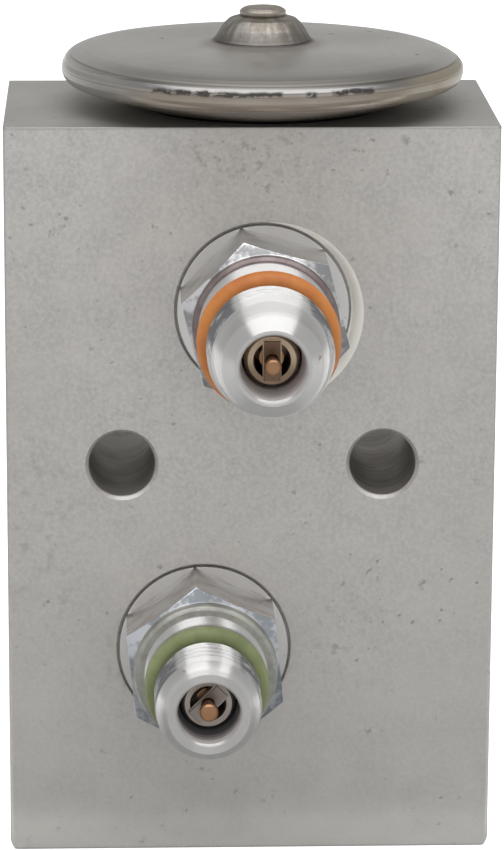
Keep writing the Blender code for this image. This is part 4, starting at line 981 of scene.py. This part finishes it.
# In millimetres. The thread gives crest radius, front, back, pitch and depth; the ring gives its
# middle's radius and its section's radius.
LOW_SIDE = {
    "name": "low_side",
    "hex_turn": 15.0,
    "outer": (
        (3.3, 22.5, 0.15), (4.38, 21.42, 0.25), (4.62, 20.9, 0.5), (4.82, 20.0, 0.3), (4.92, 19.0, 0.2),
        (5.0, 18.6, 0.15), (5.5, 17.7, 0.2), (5.5, 14.3, 0.1), (4.45, 13.7, 0.1), (4.0, 13.4), (4.0, 11.4),
        (5.86, 11.4), (5.96, 11.3), (5.96, 8.0), (6.2, 7.98, 0.1), (6.5, 7.75, 0.15), (6.52, 7.6),
    ),
    "collar": 6.52,
    "land": 5.96,
    "flat_stain": (0.54, 0.5, 0.48, 1),
    "chamfer_colours": ((0.74, 0.73, 0.75, 1), (0.36, 0.36, 0.37, 1)),
    "collar_colours": ((0.3, 0.25, 0.245, 1), (0.21, 0.17, 0.17, 1)),
    "thread": (5.5, 18.9, 14.0, 1.27, 0.55),
    "mouth": 2.85,
    "ring": (5.32, 1.0),
    "bridge_turn": 90.0,
    "pin_head": 0.72,
}
HIGH_SIDE = {
    "name": "high_side",
    "hex_turn": 6.0,
    "outer": (
        (3.65, 19.2, 0.12), (4.05, 18.95, 0.2), (4.3, 18.6, 0.3), (4.5, 18.15, 0.3), (4.62, 17.7, 0.2),
        (4.72, 17.2, 0.2), (4.72, 13.1, 0.1), (3.8, 12.6, 0.1), (3.55, 12.4), (3.55, 10.25),
        (5.42, 10.25), (5.52, 10.15), (5.52, 8.2), (6.1, 8.18, 0.1), (6.4, 7.95, 0.2), (6.5, 7.6),
    ),
    "collar": 6.5,
    "land": 5.52,
    "flat_stain": (0.5, 0.44, 0.42, 1),
    "chamfer_colours": ((0.66, 0.68, 0.72, 1), (0.36, 0.39, 0.43, 1)),
    "collar_colours": ((0.5, 0.51, 0.46, 1), (0.36, 0.35, 0.33, 1)),
    "thread": (4.72, 18.1, 13.0, 1.058, 0.46),
    "mouth": 2.78,
    "ring": (4.72, 0.85),
    "bridge_turn": 45.0,
    "pin_head": 0.83,
}
for side in (LOW_SIDE, HIGH_SIDE):
    ring_centre = middle(f"{side['name']}_nose_ring")
    side["place"] = out_of_front(ring_centre.x, ring_centre.z)
    side["tip"] = FRONT_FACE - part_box(f"{side['name']}_fitting")[0].y


def from_tip(side, *profile):
    """Profile points given in millimetres, each as a radius and a depth behind the fitting's tip."""
    return [(p[0] * MM, side["tip"] - p[1] * MM, *(v * MM for v in p[2:])) for p in profile]


def fitting_points(side):
    """The fitting's closed profile: outside, hexagon, flange, shank and bore."""
    _, thread_front, thread_back, _, _ = (v * MM for v in side["thread"])
    outer = rounded(mm(*side["outer"]), 4)
    points = []
    for a, b in zip(outer, outer[1:]):
        points.append(a)
        drop_here = a[1] - b[1]
        if thread_back < b[1] and a[1] <= thread_front + 0.3 * MM and drop_here > THREAD_STEP:
            points += ramp(a, b, max(1, int(drop_here / THREAD_STEP)))
    points.append(outer[-1])
    collar = side["collar"] * MM
    chamfer_end = (HEX_EDGE, HEX_FRONT - HEX_CHAMFER_DROP)
    points.append((collar, HEX_FRONT + 0.02 * MM))
    points += ramp((collar + 0.01 * MM, HEX_FRONT), chamfer_end, 26)
    points.append((HEX_EDGE, HEX_FRONT - HEX_CHAMFER_DROP - 0.01 * MM))
    points.append((HEX_EDGE, 0.02 * MM))
    wide = side["mouth"]
    return points + FLANGE_AND_SHANK + from_tip(
        side, (1.9, 9.7), (2.6, 9.0), (2.6, 3.1), (wide, 2.6),
        (wide, 0.2), (wide + 0.12, 0.04), (wide + 0.2, 0),
    )


def fitting_mesh(side):
    """The fitting's outside and bore in one spin, with a helical thread and a chamfered hexagon."""
    _, thread_front, thread_back, pitch, depth = (v * MM for v in side["thread"])
    turn = math.radians(side["hex_turn"])

    def reshape(radius, height, angle):
        if 0.01 * MM < height < HEX_FRONT + 0.001 * MM and radius > side["collar"] * MM + 0.01 * MM:
            sector = (angle - turn - math.pi / 2) % (math.pi / 3) - math.pi / 6
            radius = min(radius, HEX_APOTHEM / math.cos(sector))
        if thread_back < height < thread_front and radius > 4.0 * MM:
            phase = ((height - thread_back) / pitch + angle / (2 * math.pi)) % 1
            cut_in = max(0.0, 1 - abs(2 * phase - 1) / 0.82)
            fade = min(1, (height - thread_back) / (0.6 * pitch), (thread_front - height) / (0.5 * pitch))
            radius -= depth * cut_in**0.85 * max(0, fade)
        return radius, height

    points = fitting_points(side)
    start = turn + math.pi / 2
    mesh = lathe_mesh("fitting", points, FINE_ROUND, closed=True, reshape=reshape, turn=start)
    shade(mesh, 24)
    return mesh


def core_body_mesh(side):
    """The core's barrel with a bridge across its mouth, drilled for the pin."""
    barrel = from_tip(
        side, (1.5, 3.3), (1.62, 3.05), (2.08, 3.0), (2.2, 3.12), (2.42, 3.6), (2.42, 7.7), (1.6, 7.7),
        (1.6, 12.5), (0.62, 12.5), (0.62, 7.5), (1.5, 7.5),
    )
    mesh = lathe_mesh("core", barrel, SMALL_ROUND, closed=True)
    bm = bmesh.new()
    bmesh.ops.create_cube(bm, size=1)
    bmesh.ops.scale(bm, vec=BRIDGE_SIZE, verts=bm.verts)
    bmesh.ops.bevel(bm, geom=bm.edges[:], offset=BRIDGE_ROUNDING, segments=3, affect="EDGES")
    bridge = bpy.data.meshes.new("bridge")
    bm.to_mesh(bridge)
    bm.free()
    turned = Matrix.Rotation(math.radians(side["bridge_turn"]), 4, "Z")
    place = Matrix.Translation((0, 0, side["tip"] - BRIDGE_DEPTH)) @ turned
    mesh = cut(mesh, [(bridge, place)], "UNION")
    hole = [(BRIDGE_HOLE, side["tip"]), (BRIDGE_HOLE, side["tip"] - BRIDGE_HOLE_DEPTH)]
    mesh = cut(mesh, [(bore(hole, 32), Matrix.Identity(4))])
    shade(mesh, 30)
    return mesh


def core_pin_mesh(side):
    """The pin with its rounded head and collar."""
    head = side["pin_head"]
    profile = from_tip(
        side, (0, 0.3), (head - 0.2, 0.3, 0.1), (head, 0.5, 0.2), (head, 1.1, 0.1), (0.5, 1.15), (0.5, 4.2),
        (1.05, 4.2), (1.05, 4.6), (0.5, 4.6), (0.5, 12.8), (1.3, 12.8), (1.3, 13.8), (0, 13.8),
    )
    mesh = lathe_mesh("pin", rounded(profile), 48)
    shade(mesh)
    return mesh


def ring_mesh(radius, section, height):
    """A smooth round-section ring."""
    points = [
        (radius + section * math.cos(a), height + section * math.sin(a))
        for a in (2 * math.pi * k / 32 for k in range(32))
    ]
    mesh = lathe_mesh("ring", points, ROUND, closed=True)
    mesh.shade_smooth()
    return mesh


# Dress the model

def dress():
    """Make every visible piece and give every CAD node that stays its material."""
    # Heights past which each core is painted dark, as painted shade over its bridge.
    bridge_shade_heights = [side["tip"] - 2.95 * MM for side in (LOW_SIDE, HIGH_SIDE)]
    brass = turned_material(
        "core_brass_turned", (0.62, 0.5, 0.37, 1), (0.36, 0.25, 0.165, 1), 0.35, 0.3,
        above=(bridge_shade_heights[0], (0.2, 0.135, 0.09, 1)),
    )
    copper = turned_material(
        "pin_copper_turned", (0.46, 0.26, 0.145, 1), (0.32, 0.165, 0.085, 1), 0.36, 0.2,
    )
    steel = plain_metal("inner_steel_clean", grey(0.55), 0.3)
    wire = plain_metal("spring_wire", grey(0.5), 0.35)
    black = rubber_material("seal_black", grey(0.03), grey(0.02), 0.6)
    sleeve = rubber_material("core_sleeve_white", grey(0.8), grey(0.7), 0.5)
    orange = rubber_material("ring_orange", (0.65, 0.243, 0.06, 1), (0.49, 0.157, 0.036, 1), 0.5)
    green = rubber_material("ring_green", (0.28, 0.325, 0.155, 1), (0.19, 0.225, 0.1, 1), 0.5)
    nickel = turned_material(
        "core_nickel_turned", (0.56, 0.52, 0.48, 1), (0.36, 0.31, 0.27, 1), 0.38, 0.3,
        above=(bridge_shade_heights[1], (0.34, 0.3, 0.27, 1)),
    )
    by_slot = {
        "inner_steel": steel, "spring_steel": wire, "black_rubber": black,
        "white_sleeve": sleeve, "turned_brass": brass,
    }
    slots = {part["node"]: part["material_slot"] for part in frame["record"]["subparts"]}
    for name, obj in frame["nodes"].items():
        if slots[name] in by_slot:
            for material_slot in obj.material_slots:
                material_slot.material = by_slot[slots[name]]

    add_piece(
        "block", block_mesh(), Matrix.Identity(4), block_material(),
        "valve", "block_aluminium", "valve_block",
    )
    head = head_material()
    upper = lathe_mesh("upper_shell", upper_shell_points(), RIM_ROUND, closed=True, reshape=welded)
    shade(upper, 35)
    add_piece("upper_shell", upper, stem_place(), head, "valve", "head_steel", "head_upper_shell")
    lower = lathe_mesh("lower_shell", lower_shell_points(), FINE_ROUND, closed=True, reshape=bent)
    shade(lower)
    add_piece("lower_shell", lower, stem_place(), head, "valve", "head_steel", "head_lower_shell")
    plug = lathe_mesh("plug", charge_plug_points(), ROUND)
    shade(plug, 40)
    add_piece("plug", plug, stem_place(), plug_material(), "valve", "head_steel", "charge_plug")

    sides = ((LOW_SIDE, orange, "orange_rubber", brass), (HIGH_SIDE, green, "green_rubber", nickel))
    for side, rubber, slot, core in sides:
        name = side["name"]
        place = side["place"]
        metal = fitting_material(side)
        add_piece(
            f"{name}_body", fitting_mesh(side), place, metal,
            "valve", "fitting_aluminium", f"{name}_fitting",
        )
        radius, section = (v * MM for v in side["ring"])
        height = FRONT_FACE - middle(f"{name}_nose_ring").y
        add_piece(
            f"{name}_ring", ring_mesh(radius, section, height), place, rubber,
            "valve", slot, f"{name}_nose_ring",
        )
        add_piece(
            f"{name}_core", core_body_mesh(side), place, core,
            "valve", "turned_brass", f"{name}_core_body",
        )
        add_piece(
            f"{name}_pin", core_pin_mesh(side), place, copper,
            f"{name}_pin", "pin_copper", f"{name}_core_pin",
        )


# Studio

def world():
    """Soft studio surroundings: pale in front, greyer overhead, a dark band behind, a mid-grey back."""
    n = Nodes("studio", "worlds", "Background", "Generated")
    bpy.context.scene.world = n.owner
    _, y, z = n.axes()
    angle = n.math("ARCTAN2", z, n.times(y, -1))
    bands = n.add("ShaderNodeValToRGB")
    n.link(n.math("DIVIDE", angle, math.pi), bands.inputs[0])
    # From the front horizon over the top to the back: share of the half turn, and brightness
    stops = (
        (0.0, 0.72), (0.2, 0.68), (0.34, 0.6), (0.55, 0.45),
        (0.62, 0.25), (0.74, 0.28), (0.86, 0.42), (1.0, 0.52),
    )
    while len(bands.color_ramp.elements) < len(stops):
        bands.color_ramp.elements.new(0.5)
    for element, (position, value) in zip(bands.color_ramp.elements, stops):
        element.position = position
        element.color = (value, value, value * 0.99, 1)
    n.set(Color=bands.outputs[0], Strength=1.0)


def softbox(name, location, target, size, power):
    """A rectangular area light aimed at a point."""
    light = bpy.data.lights.new(name, "AREA")
    light.shape = "RECTANGLE"
    light.size, light.size_y = size
    light.energy = power
    obj = linked(name, light)
    obj.location = location
    obj.rotation_euler = (Vector(target) - Vector(location)).to_track_quat("-Z", "Y").to_euler()


def floor():
    """A wide floor: pale in front, grey just before the valve, lit up from under it backwards."""
    bm = bmesh.new()
    bmesh.ops.create_grid(bm, x_segments=1, y_segments=1, size=4.0)
    mesh = bpy.data.meshes.new("floor")
    bm.to_mesh(mesh)
    bm.free()
    obj = linked("floor", mesh)
    obj.location = (0, 0, CAD_BOX[0].z - 0.02 * MM)
    n = Nodes("floor_pale")
    y = n.axes()[1]
    base = n.mix(n.span(y, -100 * MM, -30 * MM), grey(0.72), grey(0.3))
    lit = n.span(y, -7.3 * MM, -6.2 * MM)
    n.set(Base_Color=n.mix(lit, base, grey(0.8)), Roughness=0.9)
    n.set(Emission_Color=grey(1.0), Emission_Strength=n.times(lit, 0.9))
    mesh.materials.append(n.owner)


def camera():
    """The photograph's camera."""
    forward = Vector((
        math.sin(CAMERA_YAW) * math.cos(CAMERA_PITCH),
        math.cos(CAMERA_YAW) * math.cos(CAMERA_PITCH),
        -math.sin(CAMERA_PITCH),
    ))
    right = Vector((math.cos(CAMERA_YAW), -math.sin(CAMERA_YAW), 0))
    down = forward.cross(right)
    turned_right = math.cos(CAMERA_ROLL) * right + math.sin(CAMERA_ROLL) * down
    turned_up = math.sin(CAMERA_ROLL) * right - math.cos(CAMERA_ROLL) * down
    data = bpy.data.cameras.new("camera")
    data.sensor_width = SENSOR
    data.lens = FOCAL_PIXELS * SENSOR / FRAME_HEIGHT
    data.clip_start, data.clip_end = 0.01, 20
    obj = linked("camera", data)
    place = Matrix((turned_right, turned_up, -forward)).transposed().to_4x4()
    place.translation = CAMERA_FROM_BLOCK + Vector((BLOCK_CENTRE.x, BLOCK_CENTRE.y, 0))
    obj.matrix_world = place
    bpy.context.scene.camera = obj


camera()
dress()
floor()
world()
softbox("overhead", (0.0, -0.13, 0.62), (0, -0.1, 0.04), (0.84, 0.5), 2.8)
bpy.context.scene.view_settings.view_transform = "Standard"

bpy.context.view_layer.update()
